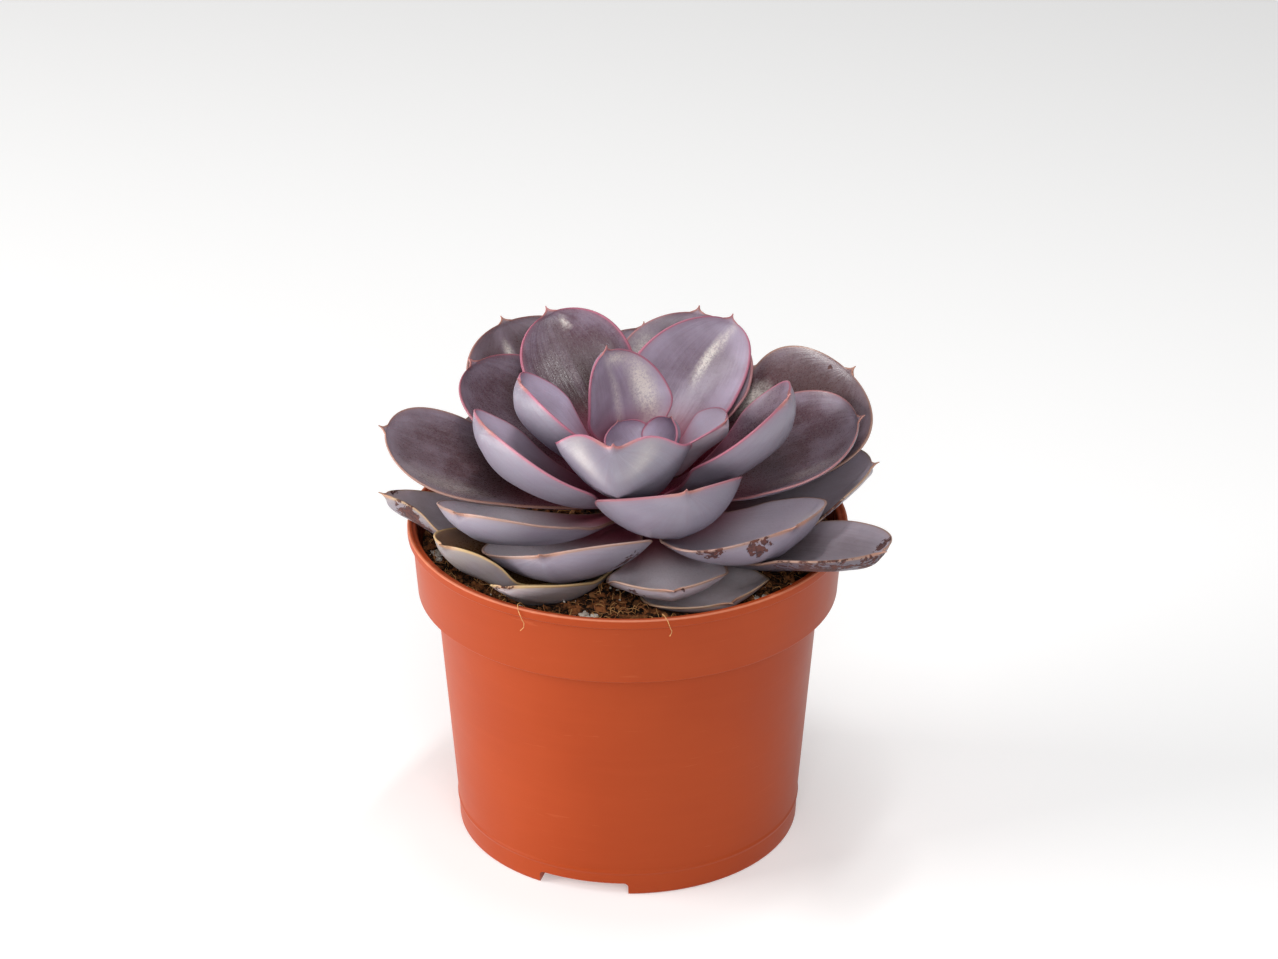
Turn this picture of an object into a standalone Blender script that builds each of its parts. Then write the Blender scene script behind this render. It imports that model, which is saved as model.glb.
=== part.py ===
# Potted echeveria: a leafy rosette in a plain plastic nursery pot.
# Metres, +Z up, the pot's base on z = 0 and its axis on the Z axis. The front is -Y.

import math
import random

import bmesh
import bpy
import numpy as np
from mathutils import Matrix, Vector, noise
from mathutils.bvhtree import BVHTree

MM = 0.001
GAP = 0.3

# Pot sizes in millimetres
RIM_RADIUS = 60.0
RIM_TOP = 90.6
LIP_INSIDE = 57.4
LIP_BOTTOM = 88.2
COLLAR_TOP_RADIUS = 58.7
COLLAR_FOOT_RADIUS = 57.5
COLLAR_FOOT = 71.2
BODY_TOP_RADIUS = 52.4
BODY_FOOT_RADIUS = 47.8
FOOT_LINE = 7.0
WALL = 1.4
FLOOR = 2.0
POT_STEPS = 54

# Drain pockets under the pot: three, evenly spaced, open at the foot
POCKET_COUNT = 3
POCKET_AZIMUTH = -15.0
POCKET_WIDTH = 25.0
POCKET_HEIGHT = 3.6
POCKET_REACH = 27.0
DRAIN_HOLE_RADIUS = 4.0
DRAIN_HOLE_OUT = 37.0

# Soil
SOIL_TOP = 83.8
SOIL_STEPS = 40
CRUMB_COUNT = 36
SEED = 11

# Rosette: the plant's axis, and how high and how far out the leaves start
PLANT_X = 4.5
PLANT_Y = 4.0
FIRST_BASE = 87.4
LAST_BASE = 104.0
FIRST_REACH = 9.4
LAST_REACH = 3.4
STEM_FOOT = 64.0
STEM_HOLE = 9.3

# Leaf blade
ROWS = 10
COLUMNS = 6
BASE_SHARE = 0.26
WIDEST = 0.62
THICKNESS = 3.6
BASE_THICKNESS = 2.0
EDGE = 0.9
POINT = 1.6
SPOON = 0.85
LEAF_CLEARANCE = 0.7
SOIL_CLEARANCE = 1.0
RIM_CLEARANCE = 0.4
RIM_RAMP = 36.0
SOFTENINGS = 2

# Leaves from the outermost to the innermost. Azimuth from the front towards +X, height at which
# the leaf leaves the stem, rise of its chord, curl along it, length of the chord, width, share of
# the length where it is widest, cup, roll about the chord, and sideways sway of the tip.
# Degrees and millimetres.
LEAVES = [
    ("leaf_01", -27, 87.4, 6.5, 20, 54.9, 19.5, 0.82, 0.26, 11, -7.7),
    ("leaf_02", -80, 87.7, 10.0, 19, 62.4, 26.5, 0.66, 0.42, 16, -1.7),
    ("leaf_03", 24, 88.0, 0.6, 12, 43.6, 35.1, 0.65, 0.27, 6, 0.6),
    ("leaf_04", 54, 88.0, 9.9, 10, 68.5, 35.4, 0.74, 0.30, -7, -1.4),
    ("leaf_05", -50, 88.7, 10.0, 20, 53.9, 29.9, 0.76, 0.46, 6, -7.2),
    ("leaf_06", 126, 89.4, 7, 6, 44, 30, 0.62, 0.16, 0, 0.0),
    ("leaf_07", 10, 90.0, 6.0, 9, 44.9, 33.3, 0.63, 0.37, 0, -2.2),
    ("leaf_08", 172, 90.4, 8, 8, 43, 34, 0.62, 0.16, 0, 0.0),
    ("leaf_09", 92, 91.4, 10, 8, 40, 22, 0.64, 0.20, 0, 0.0),
    ("leaf_10", -132, 91.4, 10, 8, 56, 36, 0.62, 0.16, 0, 0.0),
    ("leaf_11", -31, 92.0, 11.0, 30, 44.6, 50.2, 0.70, 0.33, 19, 0.6),
    ("leaf_12", 84, 92.7, 15.6, 19, 55.1, 43.7, 0.59, 0.21, -2, 1.0),
    ("leaf_13", 150, 93.4, 16, 10, 58, 40, 0.62, 0.18, 0, 0.0),
    ("leaf_14", -166, 94.0, 17, 10, 60, 40, 0.62, 0.18, 0, 0.0),
    ("leaf_15", -52, 94.5, 13.5, 22, 52.3, 40.4, 0.76, 0.31, 12, -3.9),
    ("leaf_16", 36, 94.6, 13.9, 29, 49.4, 45.0, 0.74, 0.35, 5, 6.9),
    ("leaf_17", 112, 96.2, 26.3, 19, 59.7, 53.0, 0.72, 0.13, 13, -0.3),
    ("leaf_18", -88, 96.3, 17.8, 26, 65.5, 42.2, 0.65, 0.19, -10, -0.8),
    ("leaf_19", 180, 97.0, 23, 12, 58, 40, 0.62, 0.20, 0, 0.0),
    ("leaf_20", -141, 97.5, 27.2, 7, 63.0, 45.6, 0.62, 0.27, -6, -0.4),
    ("leaf_21", 89, 97.8, 23.0, 14, 55.2, 52.6, 0.55, 0.25, 7, -0.5),
    ("leaf_22", 164, 97.7, 31.4, 14, 57.0, 40.0, 0.61, 0.24, -1, 0.1),
    ("leaf_23", 11, 96.8, 29.4, 27, 39.5, 42.0, 0.69, 0.56, 6, 2.7),
    ("leaf_24", -121, 98.7, 25.8, 14, 54.4, 41.8, 0.61, 0.31, -2, -0.5),
    ("leaf_25", -60, 97.3, 35.7, 34, 47.8, 46.5, 0.65, 0.33, -4, -4.3),
    ("leaf_26", 63, 98.8, 43.9, 18, 47.0, 41.6, 0.66, 0.43, 9, 3.4),
    ("leaf_27", -150, 101.0, 35.1, 4, 54.1, 31.8, 0.60, 0.27, -28, 2.3),
    ("leaf_28", 163, 101.2, 30.1, 4, 53.4, 31.4, 0.51, 0.25, 32, -10.1),
    ("leaf_29", -8, 99.9, 44.1, 8, 39.6, 39.6, 0.82, 0.71, 2, -3.1),
    ("leaf_30", -79, 102.0, 46.2, 12, 40.9, 41.3, 0.66, 0.40, 4, -0.1),
    ("leaf_31", 83, 104.6, 44.9, 4, 26.8, 32.3, 0.59, 0.32, -12, -10.0),
    ("leaf_32", -153, 103.0, 78.0, 21, 32.7, 30.4, 0.50, 0.32, 29, 5.6),
]

# Small unopened leaves at the growing point, grown as one with the stem: azimuth, start
# height, distance from the axis, rise, curl, length, width, cup
HEART_LEAVES = [
    (118, 101.9, 1.2, 66, 8, 16.2, 17, 0.55),
    (-130, 103.0, 1.5, 58, 25, 13.8, 19.0, 0.45),
    (-44, 101.5, 1.5, 56, 30, 12, 13, 0.45),
    (41, 101.5, 1.6, 54, 30, 12.5, 13, 0.45),
    (10, 103.5, 0.5, 74, 24, 8, 8, 0.40),
]

# Colours and finishes
TERRACOTTA = (0.62, 0.17, 0.06, 1.0)
PEAT = (0.055, 0.030, 0.018, 1.0)
LEAF_OUTER = (0.235, 0.190, 0.205, 1.0)
LEAF_INNER = (0.420, 0.310, 0.385, 1.0)
HEART_GREEN = (0.360, 0.220, 0.290, 1.0)


def clear_scene():
    for obj in list(bpy.data.objects):
        bpy.data.objects.remove(obj, do_unlink=True)


def new_collection(name):
    made = bpy.data.collections.new(name)
    bpy.context.scene.collection.children.link(made)
    return made


def new_material(name, colour, roughness):
    material = bpy.data.materials.new(name)
    material.use_nodes = True
    shader = material.node_tree.nodes["Principled BSDF"]
    shader.inputs["Base Color"].default_value = colour
    shader.inputs["Roughness"].default_value = roughness
    shader.inputs["Metallic"].default_value = 0.0
    return material


def object_from(bm, name, collection, material=None):
    mesh = bpy.data.meshes.new(name)
    bm.to_mesh(mesh)
    bm.free()
    obj = bpy.data.objects.new(name, mesh)
    collection.objects.link(obj)
    if material:
        mesh.materials.append(material)
    return obj


def as_cutter(obj):
    obj.hide_render = True
    obj.display_type = "WIRE"
    return obj


def turned(name, profile, steps, collection, material=None):
    """A solid of revolution from an open profile that starts and ends on the axis or closes on itself."""
    bm = bmesh.new()
    points = [bm.verts.new((r * MM, 0.0, z * MM)) for r, z in profile]
    for a, b in zip(points, points[1:]):
        bm.edges.new((a, b))
    obj = object_from(bm, name, collection, material)
    screw = obj.modifiers.new("turn", "SCREW")
    screw.axis = "Z"
    screw.angle = math.tau
    screw.steps = steps
    screw.render_steps = steps
    screw.use_merge_vertices = True
    screw.merge_threshold = 0.00001
    screw.use_smooth_shade = False
    return obj


def apply_modifiers(obj):
    graph = bpy.context.evaluated_depsgraph_get()
    mesh = bpy.data.meshes.new_from_object(obj.evaluated_get(graph))
    obj.modifiers.clear()
    obj.data = mesh


def add_boolean(obj, other, operation, solver="EXACT"):
    modifier = obj.modifiers.new(operation.lower(), "BOOLEAN")
    modifier.operation = operation
    modifier.solver = solver
    modifier.object = other
    return modifier


def pocket_block(bm, grow, top, inner):
    """A rounded block for each drain pocket, from below the base up to the given height."""
    for i in range(POCKET_COUNT):
        turn = math.radians(POCKET_AZIMUTH + i * 360.0 / POCKET_COUNT)
        wide = POCKET_WIDTH + 2 * grow
        reach = 60.0 - inner
        made = bmesh.ops.create_cube(bm, size=1.0)["verts"]
        bmesh.ops.scale(bm, vec=(wide * MM, reach * MM, 2 * top * MM), verts=made)
        bmesh.ops.translate(bm, vec=(0, -(inner + reach / 2) * MM, 0), verts=made)
        sides = {e for v in made for e in v.link_edges}
        level = [e for e in sides if abs(e.verts[0].co.z - e.verts[1].co.z) < 1e-6]
        raised = [e for e in level if e.verts[0].co.z > 0]
        edges = [e for e in raised if abs(e.verts[0].co.y - e.verts[1].co.y) > 1e-3]
        result = bmesh.ops.bevel(
            bm, geom=edges, offset=1.2 * MM, segments=3, profile=0.5, affect="EDGES", material=-1
        )
        every = set(made) | set(result["verts"])
        every = [v for v in every if v.is_valid]
        bmesh.ops.rotate(bm, cent=(0, 0, 0), matrix=Matrix.Rotation(turn, 3, "Z"), verts=every)


def make_pot(collection, cutters, material):
    inner_collar = COLLAR_FOOT_RADIUS - WALL
    inner_body = BODY_TOP_RADIUS - WALL
    inner_foot = BODY_FOOT_RADIUS - WALL
    profile = [
        (0.0, FLOOR),
        (inner_foot - 2.0, FLOOR),
        (inner_foot, FLOOR + 2.0),
        (inner_body, COLLAR_FOOT - 2.6),
        (inner_collar - 0.6, COLLAR_FOOT + 0.2),
        (inner_collar, COLLAR_FOOT + 1.4),
        (LIP_INSIDE, RIM_TOP - 0.7),
        (LIP_INSIDE + 0.6, RIM_TOP),
        (RIM_RADIUS - 0.8, RIM_TOP),
        (RIM_RADIUS, RIM_TOP - 0.8),
        (RIM_RADIUS, LIP_BOTTOM + 0.5),
        (RIM_RADIUS - 0.4, LIP_BOTTOM),
        (COLLAR_TOP_RADIUS, LIP_BOTTOM - 0.3),
        (COLLAR_FOOT_RADIUS, COLLAR_FOOT + 1.0),
        (COLLAR_FOOT_RADIUS - 0.4, COLLAR_FOOT + 0.1),
        (COLLAR_FOOT_RADIUS - 1.4, COLLAR_FOOT - 0.4),
        (BODY_TOP_RADIUS + 0.5, COLLAR_FOOT - 1.6),
        (BODY_TOP_RADIUS, COLLAR_FOOT - 2.8),
        (BODY_FOOT_RADIUS + 0.05, FOOT_LINE + 0.9),
        (BODY_FOOT_RADIUS + 0.35, FOOT_LINE),
        (BODY_FOOT_RADIUS, FOOT_LINE - 0.9),
        (BODY_FOOT_RADIUS - 0.2, 0.8),
        (BODY_FOOT_RADIUS - 0.9, 0.0),
        (0.0, 0.0),
    ]
    pot = turned("pot", profile, POT_STEPS, collection, material)

    bm = bmesh.new()
    pocket_block(bm, WALL, POCKET_HEIGHT + 1.6, POCKET_REACH - WALL)
    roofs = as_cutter(object_from(bm, "pocket_roofs", cutters))
    inside = [
        (0.0, 12.0),
        (inner_foot + 0.6, 12.0),
        (inner_foot + 0.6, 0.6),
        (0.0, 0.6),
    ]
    keep = as_cutter(turned("pocket_limit", inside, POT_STEPS, cutters))
    add_boolean(roofs, keep, "INTERSECT")
    bm = bmesh.new()
    pocket_block(bm, 0.0, POCKET_HEIGHT, POCKET_REACH)
    pockets = as_cutter(object_from(bm, "pockets", cutters))
    bm = bmesh.new()
    for i in range(POCKET_COUNT):
        turn = math.radians(POCKET_AZIMUTH + i * 360.0 / POCKET_COUNT)
        out = Matrix.Rotation(turn, 4, "Z") @ Matrix.Translation((0, -DRAIN_HOLE_OUT * MM, 4 * MM))
        bmesh.ops.create_cone(
            bm,
            cap_ends=True,
            segments=20,
            radius1=DRAIN_HOLE_RADIUS * MM,
            radius2=DRAIN_HOLE_RADIUS * MM,
            depth=12 * MM,
            matrix=out,
        )
    holes = as_cutter(object_from(bm, "drain_holes", cutters))
    add_boolean(pot, roofs, "UNION", "MANIFOLD")
    add_boolean(pot, pockets, "DIFFERENCE", "MANIFOLD")
    add_boolean(pot, holes, "DIFFERENCE", "MANIFOLD")
    return pot


def soil_height(x, y):
    """Height of the soil's surface in millimetres: low mounds, a little higher behind."""
    big = noise.noise(Vector((x * 0.045, y * 0.045, 3.1)))
    small = noise.noise(Vector((x * 0.16, y * 0.16, 9.7)))
    far = math.hypot(x, y) / 56.0
    slope = 1.1 * max(0.0, (0.5 * x + 0.8 * y) / 56.0)
    return SOIL_TOP + 0.7 * big + 0.5 * small + (0.4 + slope) * far * far


def under_leaves(x, y, height, leaves):
    """The soil's height at a point, lowered where a leaf lies on it."""
    for dx, dy in ((0, 0), (2.5, 0), (-2.5, 0), (0, 2.5), (0, -2.5)):
        start = Vector(((x + dx) * MM, (y + dy) * MM, 70 * MM))
        for tree in leaves:
            hit = tree.ray_cast(start, Vector((0, 0, 1)), 40 * MM)
            if hit[0] is not None:
                height = min(height, hit[0].z / MM - SOIL_CLEARANCE)
    return height


def make_soil(collection, cutters, material, pot_inner, leaves):
    top_radius = pot_inner(SOIL_TOP) - GAP - 0.15
    profile = [(0.0, FLOOR + GAP)]
    profile.append((BODY_FOOT_RADIUS - WALL - 2.4, FLOOR + GAP))
    profile.append((BODY_FOOT_RADIUS - WALL - GAP - 0.1, FLOOR + 2.4 + GAP))
    profile.append((BODY_TOP_RADIUS - WALL - GAP - 0.1, COLLAR_FOOT - 2.6))
    profile.append((COLLAR_FOOT_RADIUS - WALL - GAP - 0.8, COLLAR_FOOT + 1.0))
    profile.append((COLLAR_FOOT_RADIUS - WALL - GAP - 0.1, COLLAR_FOOT + 2.2))
    profile.append((top_radius, SOIL_TOP))
    for r in (53.0, 49.0, 44.5, 39.0, 32.0, 24.0, 17.0, 12.0, 8.0, 4.0, 0.0):
        profile.append((r, SOIL_TOP + 0.001 * (56.0 - r)))
    profile.reverse()
    soil = turned("soil", profile, SOIL_STEPS, collection, material)
    apply_modifiers(soil)
    bm = bmesh.new()
    bm.from_mesh(soil.data)
    for v in bm.verts:
        if v.co.z > (SOIL_TOP - 0.5) * MM:
            x, y = v.co.x / MM, v.co.y / MM
            v.co.z = under_leaves(x, y, soil_height(x, y), leaves) * MM
    bmesh.ops.recalc_face_normals(bm, faces=bm.faces)
    bm.to_mesh(soil.data)
    bm.free()

    rng = random.Random(SEED)
    bm = bmesh.new()
    placed = []
    while len(placed) < CRUMB_COUNT:
        turn = rng.uniform(0.0, math.tau)
        out = rng.uniform(40.0, 53.4)
        size = rng.uniform(0.9, 2.1)
        x = out * math.sin(turn)
        y = -out * math.cos(turn)
        if any(math.hypot(x - a, y - b) < size + c + 0.8 for a, b, c in placed):
            continue
        top = soil_height(x, y) + 1.2 * size
        if under_leaves(x, y, top, leaves) < top:
            continue
        placed.append((x, y, size))
        made = bmesh.ops.create_icosphere(bm, subdivisions=1, radius=size * MM)["verts"]
        squash = Vector((rng.uniform(0.8, 1.2), rng.uniform(0.8, 1.2), rng.uniform(0.55, 0.8)))
        bmesh.ops.scale(bm, vec=squash, verts=made)
        spin = Matrix.Rotation(rng.uniform(0.0, math.tau), 3, "Z")
        bmesh.ops.rotate(bm, cent=(0, 0, 0), matrix=spin, verts=made)
        sunk = soil_height(x, y) + 0.1 * size
        bmesh.ops.translate(bm, vec=(x * MM, y * MM, sunk * MM), verts=made)
    crumbs = as_cutter(object_from(bm, "crumbs", cutters))
    stem_hole = [
        (0.0, SOIL_TOP + 9.0),
        (STEM_HOLE, SOIL_TOP + 9.0),
        (STEM_HOLE, STEM_FOOT - GAP),
        (0.0, STEM_FOOT - GAP),
    ]
    hole = as_cutter(turned("stem_hole", stem_hole, 24, cutters))
    hole.location = (PLANT_X * MM, PLANT_Y * MM, 0.0)
    bm = bmesh.new()
    pocket_block(bm, WALL + GAP + 0.1, POCKET_HEIGHT + 1.6 + GAP, POCKET_REACH - WALL - GAP - 0.1)
    dents = as_cutter(object_from(bm, "pocket_dents", cutters))
    add_boolean(soil, crumbs, "UNION")
    add_boolean(soil, hole, "DIFFERENCE")
    add_boolean(soil, dents, "DIFFERENCE")
    return soil


def half_width(s, width, widest):
    if s < widest:
        u = s / widest
        share = BASE_SHARE + (1 - BASE_SHARE) * u * u * (3 - 2 * u)
    else:
        e = (s - widest) / (1 - widest)
        share = math.sqrt(max(0.0, 1 - e**2.4))
    return share * width / 2


class Blade:
    """One leaf's form: a cupped blade on a curled midrib, with a thick keel and thin edges."""

    def __init__(
        self, azimuth, start, reach, rise, curl, length, width, widest, cup, roll, sway, rows, columns
    ):
        turn = math.radians(azimuth)
        self.out = np.array([math.sin(turn), -math.cos(turn), 0.0])
        self.side = np.array([math.cos(turn), math.sin(turn), 0.0])
        self.base = np.array([PLANT_X, PLANT_Y, start]) + self.out * reach
        self.bend = math.radians(max(curl, 0.5))
        self.first = math.radians(rise) - self.bend / 2
        self.radius = length / (2 * math.sin(self.bend / 2))
        self.width = width
        self.widest = widest
        self.cup = cup
        self.sway = sway
        self.roll = math.radians(roll)
        self.size = min(1.0, length / 40.0)
        self.rows = rows
        self.columns = columns
        self.drop = np.zeros((rows + 1, columns + 1))

    def frame(self, s):
        angle = self.first + self.bend * s
        flat = self.radius * (math.sin(angle) - math.sin(self.first))
        high = -self.radius * (math.cos(angle) - math.cos(self.first))
        up = np.array([0.0, 0.0, 1.0])
        normal = -math.sin(angle) * self.out + math.cos(angle) * up
        along = math.cos(angle) * self.out + math.sin(angle) * up
        middle = self.base + self.out * flat + up * high + self.side * self.sway * s**3
        side = self.side * math.cos(self.roll * s) + normal * math.sin(self.roll * s)
        normal = -self.side * math.sin(self.roll * s) + normal * math.cos(self.roll * s)
        return middle, along, side, normal

    def share(self, i):
        return 1 - (1 - i / self.rows) ** 1.7

    def point(self, s, v, under, drop):
        """A point of the upper face at share s of the length and v across, or of the lower face."""
        middle, along, side, normal = self.frame(min(s, 1.0))
        half = half_width(min(s, 1.0), self.width, self.widest)
        if s > 0.999:
            half = 0.35
            middle = middle + along * POINT * self.size
        cup = self.cup * (0.2 + 0.8 * min(1.0, s / 0.5))
        lateral = half * v * (1 - 0.25 * cup * cup * v * v)
        narrowed = 1 - half / (self.width / 2) if s > self.widest else 0.0
        height = half * cup * v * v + SPOON * self.cup * self.width / 2 * (narrowed - min(s, 1.0))
        here = middle + side * lateral + normal * height
        if under:
            slope = 2 * cup * v
            inward = (normal - side * slope) / math.sqrt(1 + slope * slope)
            keel = BASE_THICKNESS + (THICKNESS - BASE_THICKNESS) * math.sin(math.pi * min(1.0, s**0.8))
            keel = keel * self.size * (1 - 0.55 * s**5)
            thin = min(1.0, half / 5.0 + 0.1)
            here = here - inward * (EDGE + max(0.0, keel - EDGE) * (1 - abs(v) ** 1.7) * thin)
        return here - normal * drop

    def grid(self, under):
        made = np.zeros((self.rows + 1, self.columns + 1, 3))
        for i in range(self.rows + 1):
            for j in range(self.columns + 1):
                v = -1 + 2 * j / self.columns
                made[i, j] = self.point(self.share(i), v, under, self.drop[i, j])
        return made

    def bmesh(self):
        """A grid split into triangles, doubled by an extrusion, and set to the two faces' points."""
        bm = bmesh.new()
        bmesh.ops.create_grid(bm, x_segments=self.columns, y_segments=self.rows, size=1.0)
        bmesh.ops.triangulate(bm, faces=bm.faces[:], quad_method="FIXED")
        upper = list(bm.verts)
        doubled = bmesh.ops.extrude_face_region(bm, geom=bm.faces[:], use_keep_orig=True)
        lower = [g for g in doubled["geom"] if isinstance(g, bmesh.types.BMVert)]
        top = self.grid(False)
        bottom = self.grid(True)
        for verts, points in ((upper, top), (lower, bottom)):
            for vert in verts:
                i = round((vert.co.y + 1) / 2 * self.rows)
                j = round((vert.co.x + 1) / 2 * self.columns)
                vert.co = Vector(points[i, j]) * MM
        bmesh.ops.triangulate(bm, faces=[f for f in bm.faces if len(f.verts) > 3])
        bmesh.ops.recalc_face_normals(bm, faces=bm.faces)
        if bm.calc_volume(signed=True) < 0:
            bmesh.ops.reverse_faces(bm, faces=bm.faces)
        return bm

    def lift_over_rim(self):
        """Raises the outer part of the blade so that it passes over the pot's rim."""
        under = self.grid(True)
        out = np.hypot(under[:, :, 0], under[:, :, 1])
        ramp = np.clip((out - RIM_RAMP) / (LIP_INSIDE - RIM_RAMP), 0.0, 1.1)
        lack = RIM_TOP + RIM_CLEARANCE - under[:, :, 2]
        if out.max() > LIP_INSIDE - 0.8:
            over = out > LIP_INSIDE - 2.6
            need = max(0.0, (lack[over] / ramp[over]).max())
            self.drop = self.drop - need * ramp

    def bend_clear(self, above, fine=3, deep=16.0):
        """Lowers the blade where an inner leaf presses on it, so that the two stay a hair apart."""
        rows = self.rows * fine
        columns = self.columns * fine
        need = np.zeros((rows + 1, columns + 1))
        for a in range(rows + 1):
            s = self.share(a / fine)
            normal = self.frame(s)[3]
            for b in range(columns + 1):
                v = -1 + 2 * b / columns
                here = self.point(s, v, False, 0.0)
                start = Vector((here - normal * deep) * MM)
                for tree in above:
                    hit = tree.ray_cast(start, Vector(normal), 2 * deep * MM)
                    if hit[0] is not None:
                        push = deep + LEAF_CLEARANCE - hit[3] / MM
                        need[a, b] = max(need[a, b], push)
        wide = np.zeros_like(self.drop)
        for i in range(self.rows + 1):
            for j in range(self.columns + 1):
                low_a, high_a = max(0, (i - 1) * fine + 1), min(rows, (i + 1) * fine - 1)
                low_b, high_b = max(0, (j - 1) * fine + 1), min(columns, (j + 1) * fine - 1)
                wide[i, j] = need[low_a : high_a + 1, low_b : high_b + 1].max()
        smooth = wide.copy()
        for _ in range(SOFTENINGS):
            padded = np.pad(smooth, 1, mode="edge")
            blur = sum(
                padded[x : x + smooth.shape[0], y : y + smooth.shape[1]]
                for x in range(3)
                for y in range(3)
            )
            smooth = np.maximum(wide, blur / 9)
        self.drop = smooth


def reach_of(height):
    """How far from the plant's axis a leaf starts, for the height at which it starts."""
    share = min(1.0, max(0.0, (height - FIRST_BASE) / (LAST_BASE - FIRST_BASE)))
    return FIRST_REACH + (LAST_REACH - FIRST_REACH) * share**1.6


def stem_radius(height):
    return reach_of(height + 1.0) - 0.75


def make_heart(collection, cutters, material):
    profile = [(0.0, LAST_BASE + 3.0)]
    for i in range(9):
        z = LAST_BASE + 1.5 - i * (LAST_BASE + 1.5 - 82.0) / 8
        profile.append((stem_radius(z) - 0.1, z))
    profile.append((FIRST_REACH - 1.2, STEM_FOOT + 4.0))
    profile.append((FIRST_REACH - 3.4, STEM_FOOT))
    profile.append((0.0, STEM_FOOT))
    heart = turned("heart", profile, 24, collection, material)
    heart.location = (PLANT_X * MM, PLANT_Y * MM, 0.0)
    for i, (azimuth, start, reach, rise, curl, length, width, cup) in enumerate(HEART_LEAVES):
        blade = Blade(azimuth, start, reach, rise, curl, length, width, WIDEST, cup, 0, 0, 7, 4)
        leaf = as_cutter(object_from(blade.bmesh(), f"heart_leaf_{i + 1}", cutters))
        add_boolean(heart, leaf, "UNION")
    return heart


def mixed(a, b, share):
    return tuple(x + (y - x) * share for x, y in zip(a, b))


def tree_of(obj):
    graph = bpy.context.evaluated_depsgraph_get()
    bm = bmesh.new()
    bm.from_mesh(obj.evaluated_get(graph).to_mesh())
    bm.transform(obj.matrix_world)
    tree = BVHTree.FromBMesh(bm)
    bm.free()
    return tree


def make_leaves(collection):
    bpy.context.view_layer.update()
    above = [tree_of(bpy.data.objects[f"heart_leaf_{i + 1}"]) for i in range(len(HEART_LEAVES))]
    for index in range(len(LEAVES) - 1, -1, -1):
        name, azimuth, start, *form = LEAVES[index]
        blade = Blade(azimuth, start, reach_of(start), *form, ROWS, COLUMNS)
        blade.bend_clear(above)
        blade.lift_over_rim()
        bm = blade.bmesh()
        above.append(BVHTree.FromBMesh(bm))
        share = index / (len(LEAVES) - 1)
        material = new_material(name, mixed(LEAF_OUTER, LEAF_INNER, share), 0.55)
        object_from(bm, name, collection, material)
    return above


def inner_radius(z):
    """Inside radius of the pot's collar at a height."""
    low = COLLAR_FOOT_RADIUS - WALL
    share = (z - COLLAR_FOOT - 1.4) / (RIM_TOP - 0.7 - COLLAR_FOOT - 1.4)
    return low + (LIP_INSIDE - low) * share


def main():
    clear_scene()
    collection = new_collection("potted_echeveria")
    cutters = new_collection("cutters")
    make_pot(collection, cutters, new_material("terracotta_plastic", TERRACOTTA, 0.42))
    make_heart(collection, cutters, new_material("heart_leaf", HEART_GREEN, 0.5))
    leaves = make_leaves(collection)
    make_soil(collection, cutters, new_material("peat", PEAT, 0.95), inner_radius, leaves)


main()
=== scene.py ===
# %% [markdown]
# # Dressing a potted echeveria
# The solids of the plant and its pot come in as a fixed frame. This notebook gives each of them its
# real surface: fleshy leaves with thin coloured margins, a satin plastic pot, and loose peat with
# fibres in it. The plant and the pot are measured in millimetres, which become metres where a mesh
# is made. The camera, the lamps and the patterns in the finishes are in metres.

# %% Load the frame
import math
import random

import bmesh
import bpy
import numpy as np
from mathutils import Matrix, Vector, noise
from mathutils.bvhtree import BVHTree


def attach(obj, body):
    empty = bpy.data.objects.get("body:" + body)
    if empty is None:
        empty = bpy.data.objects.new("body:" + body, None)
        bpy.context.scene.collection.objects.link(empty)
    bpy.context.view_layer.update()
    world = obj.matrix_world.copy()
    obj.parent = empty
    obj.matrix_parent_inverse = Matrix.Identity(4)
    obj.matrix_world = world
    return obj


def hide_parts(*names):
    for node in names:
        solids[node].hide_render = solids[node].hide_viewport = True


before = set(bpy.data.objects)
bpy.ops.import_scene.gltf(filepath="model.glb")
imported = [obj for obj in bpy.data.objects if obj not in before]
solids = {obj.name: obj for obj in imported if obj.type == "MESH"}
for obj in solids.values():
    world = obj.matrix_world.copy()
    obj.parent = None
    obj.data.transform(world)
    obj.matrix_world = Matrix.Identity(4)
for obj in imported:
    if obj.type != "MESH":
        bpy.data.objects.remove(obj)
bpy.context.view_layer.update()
MM = 0.001
print("solids:", len(solids))

# %% [markdown]
# ## The camera
# The photograph was taken from in front and a little above with a long lens, so the rim of the pot
# is a flat ellipse and the far leaves are hardly smaller than the near ones. A 96 mm lens at
# 92 cm repeats that. The rim's ellipse gave the height of the camera.

# %% Place the camera
AIM = Vector((0.0031, 0.0, 0.1022))
CAMERA_DISTANCE = 0.9239
CAMERA_RISE = math.radians(25.62)

lens = bpy.data.cameras.new("camera")
lens.lens = 96.0
lens.sensor_width = 36.0
lens.clip_start = 0.01
camera = bpy.data.objects.new("camera", lens)
bpy.context.scene.collection.objects.link(camera)
back = Vector((0.0, -math.cos(CAMERA_RISE), math.sin(CAMERA_RISE)))
camera.location = AIM + back * CAMERA_DISTANCE
camera.rotation_euler = (-back).to_track_quat("-Z", "Y").to_euler()
bpy.context.scene.camera = camera
print("camera at", [round(c, 3) for c in camera.location])

# %% [markdown]
# ## Studio light
# One large soft lamp, low at the left, makes the left of the pot glow and lets the right side fall
# off. A weaker one in front opens the surfaces that face the camera, and a small one above it
# lights the open leaves. A lamp from the right softens the shadows, and a narrow strip over the
# plant draws pale streaks on the wax. White surroundings add a little light from every side.

# %% Set up the lamps and the white surroundings


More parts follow.
